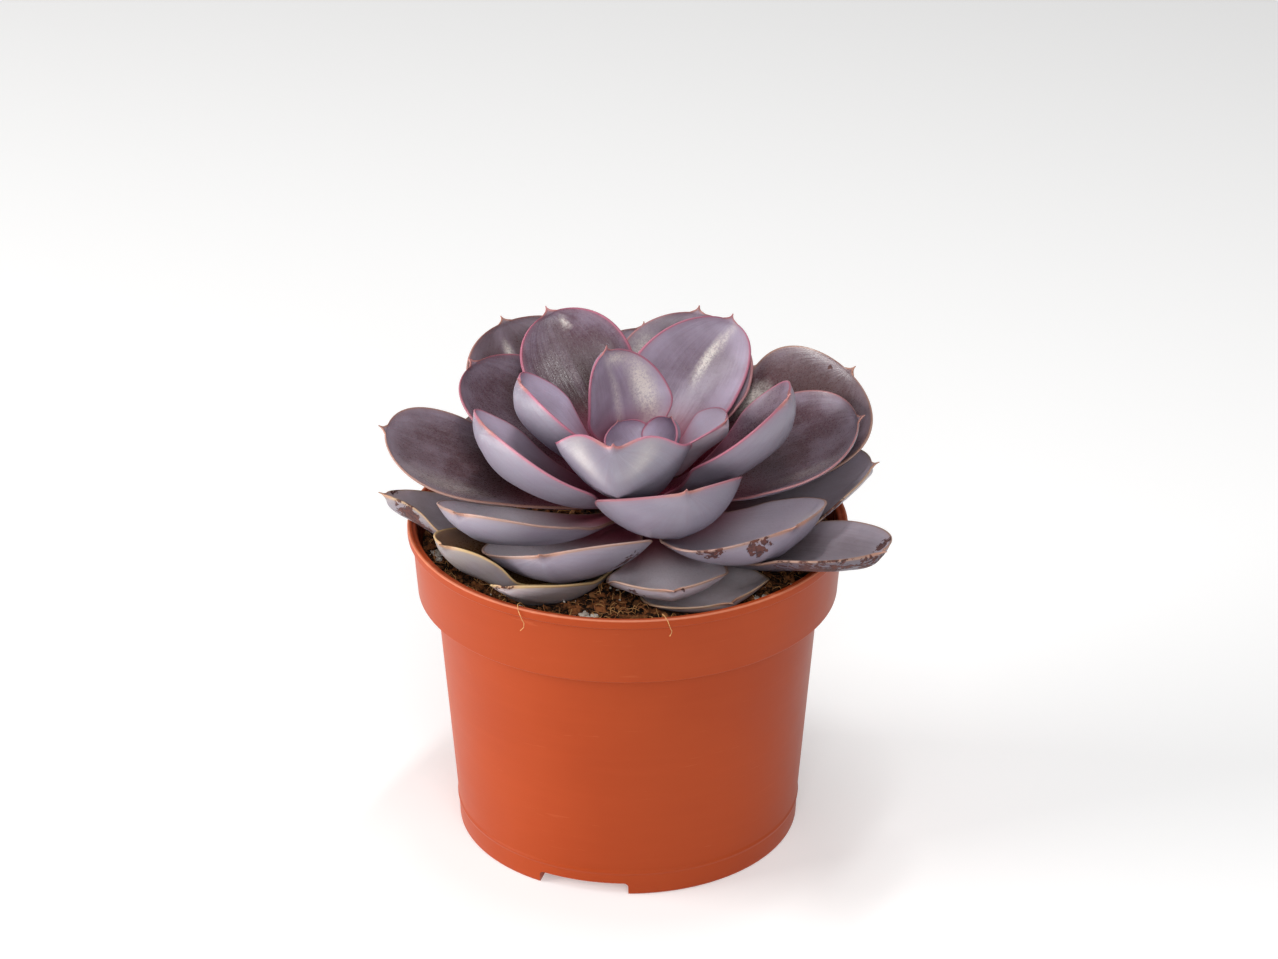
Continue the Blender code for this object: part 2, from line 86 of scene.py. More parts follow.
def softbox(name, place, aim, wide, high, power, colour=(1.0, 1.0, 1.0)):
    """A rectangular area lamp that points at a place."""
    light = bpy.data.lights.new(name, "AREA")
    light.shape = "RECTANGLE"
    light.size = wide
    light.size_y = high
    light.energy = power
    light.color = colour
    lamp = bpy.data.objects.new(name, light)
    lamp.location = place
    lamp.rotation_euler = (Vector(aim) - Vector(place)).to_track_quat("-Z", "Y").to_euler()
    bpy.context.scene.collection.objects.link(lamp)


softbox("key_lamp", (-1.65, -0.2, 0.48), (0, 0, 0.07), 1.1, 0.9, 37.0, (1.0, 0.985, 0.965))
softbox("front_lamp", (0.1, -1.45, 0.98), (0, 0, 0.08), 0.9, 0.7, 11.0)
softbox("top_lamp", (0.0, -0.62, 1.3), (0, -0.03, 0.09), 0.6, 0.5, 2.6)
softbox("side_lamp", (0.85, -1.35, 0.5), (0, 0, 0.08), 0.7, 0.7, 4.0)
softbox("strip_lamp", (0.05, 0.1, 0.95), (0, 0, 0.11), 0.06, 0.4, 2.2)

surroundings = bpy.data.worlds.new("white_surroundings")
surroundings.use_nodes = True
sky = surroundings.node_tree.nodes["Background"]
sky.inputs["Color"].default_value = (1.0, 1.0, 1.0, 1.0)
sky.inputs["Strength"].default_value = 0.16
bpy.context.scene.world = surroundings
bpy.context.scene.view_settings.view_transform = "Standard"

# %% [markdown]
# ## A small kit for finishes
# A finish is a graph of nodes. These few calls keep each one readable: a number or a colour can be
# set on a socket or joined to it, and every call hands back the socket that the next one needs.

# %% Make the finish kit


def srgb(red, green, blue):
    """A colour given as it looks on a screen, 0 to 255, as the linear colour that a shader takes."""
    share = [c / 255.0 for c in (red, green, blue)]
    linear = [c / 12.92 if c <= 0.04045 else ((c + 0.055) / 1.055) ** 2.4 for c in share]
    return (*linear, 1.0)


class Finish:
    """One material and short calls that add and join its nodes."""

    def __init__(self, name):
        self.material = bpy.data.materials.new(name)
        self.material.use_nodes = True
        self.tree = self.material.node_tree
        self.place = self.node("ShaderNodeTexCoord").outputs["Object"]

    def node(self, kind, **settings):
        made = self.tree.nodes.new(kind)
        for key, value in settings.items():
            setattr(made, key, value)
        return made

    def put(self, value, socket):
        if isinstance(value, bpy.types.NodeSocket):
            self.tree.links.new(value, socket)
        else:
            socket.default_value = value

    def shade(self, socket, value):
        """Gives one of the shader's own sockets its value or its pattern."""
        self.put(value, self.tree.nodes["Principled BSDF"].inputs[socket])

    def grown(self, name):
        """A number that the mesh carries at each of its points."""
        return self.node("ShaderNodeAttribute", attribute_name=name).outputs["Fac"]

    def noise(self, scale, detail=2.0, roughness=0.5, vector=None, warp=0.0):
        made = self.node("ShaderNodeTexNoise")
        self.put(vector or self.place, made.inputs["Vector"])
        made.inputs["Scale"].default_value = scale
        made.inputs["Detail"].default_value = detail
        made.inputs["Roughness"].default_value = roughness
        made.inputs["Distortion"].default_value = warp
        return made.outputs["Fac"]

    def dots(self, scale, size):
        """1 in small round dots, one to a cell, and 0 around them."""
        made = self.node("ShaderNodeTexVoronoi")
        self.put(self.place, made.inputs["Vector"])
        made.inputs["Scale"].default_value = scale
        return self.maths("LESS_THAN", made.outputs["Distance"], size)

    def maths(self, kind, a, b=0.0, clamp=False):
        made = self.node("ShaderNodeMath", operation=kind, use_clamp=clamp)
        self.put(a, made.inputs[0])
        self.put(b, made.inputs[1])
        return made.outputs[0]

    def times(self, a, b, clamp=False):
        return self.maths("MULTIPLY", a, b, clamp)

    def plus(self, a, b, clamp=False):
        return self.maths("ADD", a, b, clamp)

    def between(self, value, low, high, start=0.0, end=1.0):
        """0 below low, 1 above high and smooth between them, or from start to end."""
        made = self.node("ShaderNodeMapRange", interpolation_type="SMOOTHSTEP")
        for socket, number in zip(made.inputs, (value, low, high, start, end)):
            self.put(number, socket)
        return made.outputs[0]

    def blend(self, share, a, b):
        """A mix of two colours, which are a Mix node's sockets 6 and 7 and its output 2."""
        made = self.node("ShaderNodeMix", data_type="RGBA")
        self.put(share, made.inputs["Factor"])
        self.put(a, made.inputs[6])
        self.put(b, made.inputs[7])
        return made.outputs[2]

    def stretched(self, numbers, scales):
        """A place for a pattern, from three numbers that are scaled each by its own amount."""
        made = self.node("ShaderNodeCombineXYZ")
        for socket, number, scale in zip(made.inputs, numbers, scales):
            self.put(self.times(number, scale), socket)
        return made.outputs[0]

    def relief(self, *layers):
        """Bumps laid over each other, broad ones first, each a pattern, its depth and strength."""
        under = None
        for height, depth, strength in layers:
            made = self.node("ShaderNodeBump")
            self.put(height, made.inputs["Height"])
            made.inputs["Distance"].default_value = depth
            made.inputs["Strength"].default_value = strength
            if under is not None:
                self.put(under, made.inputs["Normal"])
            under = made.outputs[0]
        self.shade("Normal", under)


print("the finish kit is ready")

# %% [markdown]
# ## Helpers for meshes
# A bmesh is Blender's editable mesh. Each piece is made in one and then handed over to an object
# that rides on the frame's only body and, where it stands for a solid, takes that solid's place.

# %% Make the mesh helpers
pieces = []


def smooth_by_angle(bm, degrees):
    """Smooth shading everywhere but along edges that turn more sharply than this."""
    for face in bm.faces:
        face.smooth = True
    limit = math.radians(degrees)
    for edge in bm.edges:
        edge.smooth = len(edge.link_faces) != 2 or edge.calc_face_angle(0.0) < limit


def number_layer(bm, name):
    """The layer in which a bmesh keeps one number for each vertex, made if it isn't there."""
    return bm.verts.layers.float.get(name) or bm.verts.layers.float.new(name)


def placed(bm, name):
    """Turns a bmesh into an object of the scene."""
    mesh = bpy.data.meshes.new(name)
    bm.to_mesh(mesh)
    bm.free()
    made = bpy.data.objects.new(name, mesh)
    bpy.context.scene.collection.objects.link(made)
    return made


def finished(bm, name, material, node=None):
    """Turns a bmesh into a piece that rides on the frame."""
    piece = placed(bm, name)
    piece.data.materials.append(material)
    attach(piece, "root")
    if node:
        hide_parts(node)
    pieces.append(piece)
    return piece


def triangles_in(piece):
    return sum(len(p.vertices) - 2 for p in piece.data.polygons)


print("the mesh helpers are ready")

# %% [markdown]
# ## Which leaf goes where
# The leaves spiral up a short stem. Each row below is one leaf of the frame, from the outermost to
# the innermost: its azimuth from the front towards the right, the height at which it leaves the
# stem, the rise of its chord, its curl, the length of the chord, its width, the share of the length
# where it is widest, its cup, the roll about its chord and the sideways sway of its tip. The last
# three numbers are looks: how much pale wax is left on its upper face, where a number above 1 is
# painted light that lifts an upper face lying in shade; how far it has yellowed; and how much paler
# its lower face is painted than the others, mostly painted light on a lower face in shade, or
# darker where the number is below zero, partly painted shade.

# %% List the leaves
LEAVES = [
    ("leaf_01", -27, 87.4, 6.5, 20, 54.9, 19.5, 0.82, 0.26, 11, -7.7, 0.50, 0.90, 0.6),
    ("leaf_02", -80, 87.7, 10.0, 19, 62.4, 26.5, 0.66, 0.42, 16, -1.7, 1.70, 0.50, -0.1),
    ("leaf_03", 24, 88.0, 0.6, 12, 43.6, 35.1, 0.65, 0.27, 6, 0.6, 1.90, 0.40, 0.6),
    ("leaf_04", 54, 88.0, 9.9, 10, 68.5, 35.4, 0.74, 0.30, -7, -1.4, 0.65, 0.10, -0.7),
    ("leaf_05", -50, 88.7, 10.0, 20, 53.9, 29.9, 0.76, 0.46, 6, -7.2, 0.05, 0.85, -0.25),
    ("leaf_06", 126, 89.4, 7, 6, 44, 30, 0.62, 0.16, 0, 0.0, 0.30, 0.30, 0),
    ("leaf_07", 10, 90.0, 6.0, 9, 44.9, 33.3, 0.63, 0.37, 0, -2.2, 2.00, 0.15, 0.6),
    ("leaf_08", 172, 90.4, 8, 8, 43, 34, 0.62, 0.16, 0, 0.0, 0.30, 0.30, 0),
    ("leaf_09", 92, 91.4, 10, 8, 40, 22, 0.64, 0.20, 0, 0.0, 0.30, 0.40, 0),
    ("leaf_10", -132, 91.4, 10, 8, 56, 36, 0.62, 0.16, 0, 0.0, 0.30, 0.20, 0),
    ("leaf_11", -31, 92.0, 11.0, 30, 44.6, 50.2, 0.70, 0.33, 19, 0.6, 2.00, 0.05, 0),
    ("leaf_12", 84, 92.7, 15.6, 19, 55.1, 43.7, 0.59, 0.21, -2, 1.0, 1.10, 0.30, 0.3),
    ("leaf_13", 150, 93.4, 16, 10, 58, 40, 0.62, 0.18, 0, 0.0, 0.25, 0.10, 0),
    ("leaf_14", -166, 94.0, 17, 10, 60, 40, 0.62, 0.18, 0, 0.0, 0.25, 0.10, 0),
    ("leaf_15", -52, 94.5, 13.5, 22, 52.3, 40.4, 0.76, 0.31, 12, -3.9, 2.00, 0.05, 0),
    ("leaf_16", 36, 94.6, 13.9, 29, 49.4, 45.0, 0.74, 0.35, 5, 6.9, 1.30, 0.05, 0),
    ("leaf_17", 112, 96.2, 26.3, 19, 59.7, 53.0, 0.72, 0.13, 13, -0.3, 0.00, 0.10, 0),
    ("leaf_18", -88, 96.3, 17.8, 26, 65.5, 42.2, 0.65, 0.19, -10, -0.8, 0.18, 0.10, 0),
    ("leaf_19", 180, 97.0, 23, 12, 58, 40, 0.62, 0.20, 0, 0.0, 0.25, 0.05, 0),
    ("leaf_20", -141, 97.5, 27.2, 7, 63.0, 45.6, 0.62, 0.27, -6, -0.4, 0.20, 0.15, 0),
    ("leaf_21", 89, 97.8, 23.0, 14, 55.2, 52.6, 0.55, 0.25, 7, -0.5, 0.16, 0.00, 0),
    ("leaf_22", 164, 97.7, 31.4, 14, 57.0, 40.0, 0.61, 0.24, -1, 0.1, 0.25, 0.05, 0),
    ("leaf_23", 11, 96.8, 29.4, 27, 39.5, 42.0, 0.69, 0.56, 6, 2.7, 0.50, 0.00, -0.15),
    ("leaf_24", -121, 98.7, 25.8, 14, 54.4, 41.8, 0.61, 0.31, -2, -0.5, 0.12, 0.00, 0),
    ("leaf_25", -60, 97.3, 35.7, 34, 47.8, 46.5, 0.65, 0.33, -4, -4.3, 0.80, 0.00, 0),
    ("leaf_26", 63, 98.8, 43.9, 18, 47.0, 41.6, 0.66, 0.43, 9, 3.4, 0.14, 0.00, 0.1),
    ("leaf_27", -150, 101.0, 35.1, 4, 54.1, 31.8, 0.60, 0.27, -28, 2.3, 0.02, 0.00, 0),
    ("leaf_28", 163, 101.2, 30.1, 4, 53.4, 31.4, 0.51, 0.25, 32, -10.1, 0.52, 0.00, 0),
    ("leaf_29", -8, 99.9, 44.1, 8, 39.6, 39.6, 0.82, 0.71, 2, -3.1, 0.50, 0.00, -0.18),
    ("leaf_30", -79, 102.0, 46.2, 12, 40.9, 41.3, 0.66, 0.40, 4, -0.1, 0.85, 0.00, 0),
    ("leaf_31", 83, 104.6, 44.9, 4, 26.8, 32.3, 0.59, 0.32, -12, -10.0, 1.20, 0.00, 1.6),
    ("leaf_32", -153, 103.0, 78.0, 21, 32.7, 30.4, 0.50, 0.32, 29, 5.6, 0.70, 0.00, 0),
]
# The unopened leaves at the growing point: azimuth, start height, distance from the plant's axis,
# rise, curl, length, width and cup.
HEART_LEAVES = [
    (118, 101.9, 1.2, 66, 8, 16.2, 17, 0.55),
    (-130, 103.0, 1.5, 58, 25, 13.8, 19.0, 0.45),
    (-44, 101.5, 1.5, 56, 30, 12, 13, 0.45),
    (41, 101.5, 1.6, 54, 30, 12.5, 13, 0.45),
    (10, 103.5, 0.5, 74, 24, 8, 8, 0.40),
]
PLANT_X = 4.5
PLANT_Y = 4.0
FIRST_BASE = 87.4
LAST_BASE = 104.0
FIRST_REACH = 9.4
LAST_REACH = 3.4


def reach_of(height):
    """How far from the plant's axis a leaf starts, for the height at which it starts."""
    share = min(1.0, max(0.0, (height - FIRST_BASE) / (LAST_BASE - FIRST_BASE)))
    return FIRST_REACH + (LAST_REACH - FIRST_REACH) * share**1.6


print("leaves:", len(LEAVES), "and", len(HEART_LEAVES), "in the heart")

# %% [markdown]
# ## Marks on the leaves
# Old wounds heal as brown cork, placed by the scar marks. The pale marks are mostly painted
# highlights, glints of light on the wax, with some paler wax where leaves rub; a pale mark below
# zero is a darker place, partly painted shade in a hollow and partly darker skin. A painted texture
# would need an image, so each mark is a soft spot at a place on its leaf: the share of the length,
# the millimetres across, how far it spreads along and across, the face (0 upper, 1 lower) and its
# strength. One leaf also has a wavy end, and its number sets how deep the waves are.

# %% List the marks
PAINTED_GLINT_SHADE_AND_WAX_MARKS = [
    ("leaf_28", 0.80, -2.2, 0.15, 1.1, 0, 1.7),
    ("leaf_32", 0.60, -9.0, 0.27, 2.8, 0, 1.5),
    ("leaf_32", 0.90, -3.5, 0.06, 3.0, 0, 1.0),
    ("leaf_32", 0.55, 0.5, 0.28, 0.6, 0, 1.1),
    ("leaf_27", 0.92, -2.5, 0.04, 0.8, 0, 1.2),
    ("leaf_27", 0.60, 2.0, 0.12, 1.2, 0, 0.9),
    ("leaf_27", 0.50, 0.0, 0.26, 8.0, 0, -0.95),
    ("leaf_20", 0.87, 2.5, 0.08, 1.5, 0, 1.5),
    ("leaf_20", 0.80, 4.0, 0.30, 12.0, 0, -0.5),
    ("leaf_22", 0.72, 12.0, 0.12, 4.0, 0, 1.2),
    ("leaf_22", 0.85, 6.0, 0.15, 6.0, 0, -0.5),
    ("leaf_17", 0.60, 18.0, 0.10, 3.5, 0, 1.2),
    ("leaf_17", 0.75, 0.0, 0.30, 18.0, 0, -0.65),
    ("leaf_21", 0.70, -13.0, 0.20, 5.0, 0, 0.3),
    ("leaf_18", 0.70, 13.0, 0.22, 5.0, 0, 0.35),
    ("leaf_18", 0.34, 0.0, 0.18, 13.0, 0, -0.7),
    ("leaf_24", 0.50, -9.0, 0.28, 10.0, 0, -1.6),
    ("leaf_21", 0.50, 3.0, 0.25, 12.0, 0, -0.35),
    ("leaf_25", 0.50, -6.0, 0.22, 8.0, 0, -0.5),
    ("leaf_26", 0.45, 6.0, 0.22, 8.0, 0, -0.6),
    ("leaf_16", 0.86, 15.0, 0.10, 2.5, 0, 0.8),
    ("leaf_15", 0.46, 7.0, 0.12, 5.0, 0, 0.8),
    ("leaf_30", 0.74, -13.0, 0.13, 4.0, 1, 1.2),
    ("leaf_25", 0.80, -14.0, 0.11, 4.0, 1, 1.1),
    ("leaf_29", 0.95, -9.0, 0.03, 5.0, 1, 0.5),
    ("leaf_29", 0.96, 7.5, 0.025, 4.0, 1, 0.45),
]
SCAR_MARKS = [
    ("leaf_17", 0.955, 6.5, 0.02, 1.3, 0, 1.0),
    ("leaf_16", 0.86, -19.0, 0.07, 2.2, 1, 0.95),
    ("leaf_16", 0.95, -10.0, 0.04, 3.5, 1, 1.0),
    ("leaf_04", 0.80, -11.0, 0.15, 6.0, 1, 1.1),
    ("leaf_04", 0.93, 9.5, 0.04, 2.6, 0, 1.1),
    ("leaf_04", 0.95, 0.0, 0.04, 5.0, 1, 0.9),
    ("leaf_02", 0.88, 6.0, 0.08, 4.0, 1, 1.35),
    ("leaf_12", 0.75, -19.0, 0.18, 2.5, 0, 0.8),
    ("leaf_12", 0.75, -19.0, 0.18, 2.5, 1, 0.8),
    ("leaf_07", 0.88, -9.0, 0.05, 3.0, 1, 0.7),
    ("leaf_11", 0.66, 17.0, 0.09, 5.0, 1, 0.85),
    ("leaf_11", 0.86, -19.0, 0.05, 2.2, 1, 1.0),
    ("leaf_15", 0.42, 9.0, 0.08, 4.0, 0, 0.7),
    ("leaf_01", 0.90, -3.0, 0.05, 3.0, 1, 0.6),
    ("leaf_03", 0.92, -4.0, 0.04, 4.0, 0, 0.7),
]
WAVY_ENDS = {"leaf_29": 2.2}


def bell(x, middle, spread):
    """A soft spot: 1 in the middle, fading over its spread."""
    return np.exp(-(((x - middle) / spread) ** 2))


def marked(marks, name, s, x, face):
    """How strongly the marks of one leaf show at each point of its upper or its lower face."""
    total = np.zeros_like(s)
    for leaf, at, aside, long, wide, side, strength in marks:
        if leaf == name and side == face:
            total += strength * bell(s, at, long) * bell(x, aside, wide)
    return total


print("pale marks:", len(PAINTED_GLINT_SHADE_AND_WAX_MARKS), "scars:", len(SCAR_MARKS))

# %% [markdown]
# ## The form of one leaf
# An echeveria leaf is a shallow spoon: a midrib that curls upwards, a blade that is narrow at the
# stem and broad near its end, a thick keel underneath and a thin rounded edge. One set of formulas
# gives any point of its upper or lower face, so a coarse grid of points gives the frame's solid
# and a fine one gives the smooth leaf, both on the same form.

# %% Define the blade
BASE_SHARE = 0.26
TIP_POWER = 2.4
THICKNESS = 3.6
BASE_THICKNESS = 2.0
EDGE = 0.5
SPOON = 0.85


def half_width(s, width, widest):
    """Half the blade's width at each share of its length."""
    u = np.clip(s / widest, 0.0, 1.0)
    rising = BASE_SHARE + (1 - BASE_SHARE) * u * u * (3 - 2 * u)
    e = np.clip((s - widest) / (1 - widest), 0.0, 1.0)
    closing = np.sqrt(1 - e**TIP_POWER)
    return np.where(s < widest, rising, closing) * width / 2


class Blade:
    """One leaf's form, as arrays: s along the midrib, v across from -1 to 1."""

    def __init__(self, azimuth, start, reach, rise, curl, length, width, widest, cup, roll, sway):
        turn = math.radians(azimuth)
        self.out = np.array([math.sin(turn), -math.cos(turn), 0.0])
        self.side = np.array([math.cos(turn), math.sin(turn), 0.0])
        self.base = np.array([PLANT_X, PLANT_Y, start]) + self.out * reach
        self.bend = math.radians(max(curl, 0.5))
        self.first = math.radians(rise) - self.bend / 2
        self.radius = length / (2 * math.sin(self.bend / 2))
        self.width = width
        self.widest = widest
        self.cup = cup
        self.sway = sway
        self.roll = math.radians(roll)
        self.size = min(1.0, length / 40.0)

    def frame(self, s):
        """The midrib's point and the three directions of the blade there."""
        s = np.asarray(s)[..., None]
        angle = self.first + self.bend * s
        flat = self.radius * (np.sin(angle) - math.sin(self.first))
        high = -self.radius * (np.cos(angle) - math.cos(self.first))
        up = np.array([0.0, 0.0, 1.0])
        along = np.cos(angle) * self.out + np.sin(angle) * up
        normal = -np.sin(angle) * self.out + np.cos(angle) * up
        middle = self.base + self.out * flat + up * high + self.side * self.sway * s**3
        turned = self.side * np.cos(self.roll * s) + normal * np.sin(self.roll * s)
        normal = -self.side * np.sin(self.roll * s) + normal * np.cos(self.roll * s)
        return middle, along, turned, normal

    def faces(self, s, v, half, past, drop):
        """Points of the upper and the lower face, given the half width and the way past the tip."""
        middle, along, side, normal = self.frame(s)
        middle = middle + along * past[..., None]
        cup = self.cup * (0.2 + 0.8 * np.minimum(1.0, s / 0.5))
        lateral = half * v * (1 - 0.25 * cup * cup * v * v)
        narrowed = np.where(s > self.widest, 1 - half / (self.width / 2), 0.0)
        height = half * cup * v * v + SPOON * self.cup * self.width / 2 * (narrowed - s)
        upper = middle + side * lateral[..., None] + normal * height[..., None]
        slope = (2 * cup * v)[..., None]
        inward = (normal - side * slope) / np.sqrt(1 + slope * slope)
        keel = BASE_THICKNESS + (THICKNESS - BASE_THICKNESS) * np.sin(math.pi * np.minimum(1.0, s**0.8))
        keel = keel * self.size * (1 - 0.55 * s**5)
        thin = np.minimum(1.0, half / 5.0 + 0.1)
        deep = EDGE + np.maximum(0.0, keel - EDGE) * (1 - np.abs(v) ** 1.7) * thin
        lower = upper - inward * deep[..., None]
        fall = normal * drop[..., None]
        return upper - fall, lower - fall, normal, side


width_there = 2 * float(half_width(np.array(0.3), 40.0, 0.62))
print("a blade 40 wide is", round(width_there, 1), "wide at a third of its length")

# %% [markdown]
# ## How far each leaf is bent
# Where an inner leaf lies on an outer one, the solid of the outer one was bent down to make room,
# and where it crosses the pot's rim it was bent up. The solid itself says how far: the formulas
# give each corner of its grid unbent, and the solid's own corner lies on that point's normal. The
# distances are kept as a small table, read with smooth interpolation for the fine leaf.

# %% Measure the bends
ROWS = 10
COLUMNS = 6
ROW_POWER = 1.7
SAME_PLACE = 0.05
# Half the width of a solid's last row and how far that row is drawn out, in millimetres.
BLUNT_TIP = 0.35
POINT = 1.6


def along_share(share):
    """Rows of a blade stand closer together towards its tip."""
    return 1 - (1 - share) ** ROW_POWER


def row_share(s):
    """The other way round: the share of the rows that lie before a share of the length."""
    return 1 - (1 - s) ** (1 / ROW_POWER)


def measured_bend(blade, solid):
    """How far the solid's upper face lies under the unbent one, at the corners of its grid."""
    corners = np.array([v.co for v in solid.data.vertices]) / MM
    i, j = np.meshgrid(np.arange(ROWS + 1), np.arange(COLUMNS + 1), indexing="ij")
    s = along_share(i / ROWS)
    v = -1 + 2 * j / COLUMNS
    last = i == ROWS
    half = np.where(last, BLUNT_TIP, half_width(s, blade.width, blade.widest))
    past = np.where(last, POINT * blade.size, 0.0)
    upper, _, normal, _ = blade.faces(s, v, half, past, np.zeros_like(s))
    bend = np.full(s.shape, np.nan)
    for at in np.ndindex(s.shape):
        away = corners - upper[at]
        depth = -(away @ normal[at])
        aside = np.linalg.norm(away + depth[:, None] * normal[at], axis=1)
        near = np.flatnonzero(aside < SAME_PLACE)
        if len(near):
            bend[at] = depth[near].min()
    for row in bend:
        known = np.flatnonzero(~np.isnan(row))
        row[:] = np.interp(np.arange(COLUMNS + 1), known, row[known])
    return bend


def cubic_weights(position, count):
    """The four neighbours of a position between whole numbers, each with its weight."""
    cell = np.clip(np.floor(position).astype(int), 0, count - 2)
    t = position - cell
    cubic = (
        -0.5 * t + t**2 - 0.5 * t**3,
        1 - 2.5 * t**2 + 1.5 * t**3,
        0.5 * t + 2 * t**2 - 1.5 * t**3,
        -0.5 * t**2 + 0.5 * t**3,
    )
    return [(np.clip(cell + k - 1, 0, count - 1), weight) for k, weight in enumerate(cubic)]


def read_smoothly(table, row, column):
    """Cubic interpolation of a table at fractional rows and columns."""
    total = 0.0
    for at_row, row_weight in cubic_weights(row, table.shape[0]):
        for at_column, column_weight in cubic_weights(column, table.shape[1]):
            total = total + row_weight * column_weight * table[at_row, at_column]
    return total


blades = {}
bends = {}
for name, azimuth, start, *form, wax, yellow, below in LEAVES:
    blades[name] = Blade(azimuth, start, reach_of(start), *form)
    bends[name] = measured_bend(blades[name], solids[name])
print("largest bend down:", round(max(b.max() for b in bends.values()), 1), "mm")
print("largest bend up:", round(-min(b.min() for b in bends.values()), 1), "mm")

# %% [markdown]
# ## The rows and the waves of a fine leaf
# A fine leaf has a row of points every millimetre or so. Near its blunt end the blade is still a
# few millimetres wide where the margin turns in, and from that shoulder a few more rows draw in to
# the little spine that every leaf of this plant ends in. No leaf is quite even, so its blade also
# rises and falls by up to a third of a millimetre, and one end has deeper waves.

# %% Work out the rows
BLADE_ROWS = 42
SPINE_ROWS = 7
SHOULDER = 2.4
SPINE_TIP = 0.13
WAVE_HEIGHT = 0.35


def leaf_rows(blade, rows):
    """For each row: its share of the length, its half width and its share of the spine."""
    share = np.concatenate([np.arange(rows + 1) / rows, np.ones(SPINE_ROWS)])
    spine = np.concatenate([np.zeros(rows + 1), np.arange(1, SPINE_ROWS + 1) / SPINE_ROWS])
    closed = (1 - (2 * SHOULDER / blade.width) ** 2) ** (1 / TIP_POWER)
    blade_end = blade.widest + (1 - blade.widest) * closed
    s = along_share(share * row_share(blade_end)) + (1 - blade_end) * spine
    s = np.minimum(s, 1.0)
    drawn_in = SHOULDER * (1 - spine) ** 2.2 + SPINE_TIP
    half = np.where(spine > 0, drawn_in, half_width(s, blade.width, blade.widest))
    return s, half, spine


def leaf_waves(s, v, half, seed, wavy_end):
    """How far the blade lies over its even form."""
    wave = np.zeros_like(s)
    for at in np.ndindex(s.shape):
        wave[at] = WAVE_HEIGHT * noise.noise(Vector((s[at] * 2.6, v[at] * 1.3, seed * 7.31)))
    wave *= np.clip((s - 0.25) * 3, 0, 1) * np.clip(half / 6.0, 0, 1)
    aside = np.abs(v * half)
    lobes = 0.6 * bell(aside, 10.0, 5.0) - 0.9 * bell(aside, 0.0, 4.5) - 0.8 * bell(aside, 20.0, 4.0)
    return wave + wavy_end * lobes * bell(s, 0.94, 0.14)


rows_there = leaf_rows(blades["leaf_11"], BLADE_ROWS)
print("rows:", len(rows_there[0]), "half a width at the shoulder:", round(rows_there[1][BLADE_ROWS], 2))

# %% [markdown]
# ## Rings round the leaf
# The rows are rolled into a flat tube: some of a ring's points run across the upper face, three
# round each edge, and the rest back across the lower face, which has a faint ridge on its keel. Each
# point also keeps what the finish needs to know: how far it is along the leaf and from the margin,
# whether it is on the lower face, and the marks there. The distance from the margin is measured in
# space, because a blade that curls up looks too short from above.

# %% Roll the rings
ACROSS = 23
EDGE_STEPS = 3
EDGE_BULGE = 0.38
RIDGE = 0.4
SPINE_STRETCH = 1.45


def margin_distance(points, outline):
    """Distance of each point of a face from the outline of the leaf."""
    best = np.full(points.shape[:-1], 1e9)
    for start, stop in zip(outline, outline[1:]):
        way = stop - start
        t = np.clip(((points - start) @ way) / max(way @ way, 1e-9), 0.0, 1.0)
        best = np.minimum(best, np.linalg.norm(points - start - t[..., None] * way, axis=-1))
    return best


def rounded_edge(first, second, bulge):
    """Points of the half round edge between two faces, for each row."""
    turns = math.pi * np.arange(1, EDGE_STEPS + 1)[:, None] / (EDGE_STEPS + 1)
    centre = (first + second) / 2
    reach = (first - centre)[:, None] * np.cos(turns) + bulge[:, None] * np.sin(turns)
    return centre[:, None] + reach


def facts_of(along, across, margin, under, scar, pale):
    """What the finish reads, side by side for each point."""
    return np.stack(np.broadcast_arrays(along, across, margin, under, scar, pale), axis=-1)


def leaf_rings(blade, bend, seed, rows=BLADE_ROWS, across=ACROSS, name=""):
    """Rings of points round the blade, from the stem to the spine, with what the finish reads."""
    row_s, row_half, row_spine = leaf_rows(blade, rows)
    half, spine = row_half[:, None], row_spine[:, None]
    s, v = np.meshgrid(row_s, np.sin(np.linspace(-math.pi / 2, math.pi / 2, across)), indexing="ij")
    drop = np.zeros_like(s)
    if bend is not None:
        drop = read_smoothly(bend, row_share(s) * ROWS, (v + 1) / 2 * COLUMNS)
    inset = 1 - np.minimum(0.45, EDGE_BULGE / half)
    past = POINT * SPINE_STRETCH * blade.size * spine
    upper, lower, normal, side = blade.faces(s, v * inset, half, past, drop)

    x = v * half
    wave = leaf_waves(s, v, half, seed, WAVY_ENDS.get(name, 0.0))
    ridge = RIDGE * bell(x, 0.0, 1.3) * np.clip((s - 0.45) * 2.2, 0, 1) * np.clip(half / 5.0, 0, 1)
    upper = upper + normal * wave[..., None]
    lower = lower + normal * (wave - ridge)[..., None]
    pinch = (1 - 0.6 * spine)[..., None]
    centre = (upper + lower) / 2
    upper = centre + (upper - centre) * pinch
    lower = centre + (lower - centre) * pinch
    bulge = side * np.minimum(EDGE_BULGE, half * 0.45)[..., None] * pinch
    right = rounded_edge(upper[:, -1], lower[:, -1], bulge[:, -1])
    left = rounded_edge(lower[:, 0], upper[:, 0], -bulge[:, 0])
    rings = np.concatenate([upper, right, lower[:, ::-1], left], axis=1)

    margin = margin_distance(upper, np.concatenate([upper[:, 0], upper[::-1, -1]]))
    faces = []
    for face in (0, 1):
        scar = marked(SCAR_MARKS, name, s, x, face)
        pale = marked(PAINTED_GLINT_SHADE_AND_WAX_MARKS, name, s, x, face)
        faces.append(facts_of(s, v, margin, face, scar, pale))
    # The edge is the margin itself. It has the scars of the lower face and no pale marks.
    under = np.arange(1, EDGE_STEPS + 1) / (EDGE_STEPS + 1)
    right = facts_of(s[:, -1:], 1.0, 0.0, under, scar[:, -1:], 0.0)
    left = facts_of(s[:, :1], -1.0, 0.0, under[::-1], scar[:, :1], 0.0)
    facts = np.concatenate([faces[0], right, faces[1][:, ::-1], left], axis=1)
    return rings, facts


print("points in a ring:", 2 * (ACROSS + EDGE_STEPS))
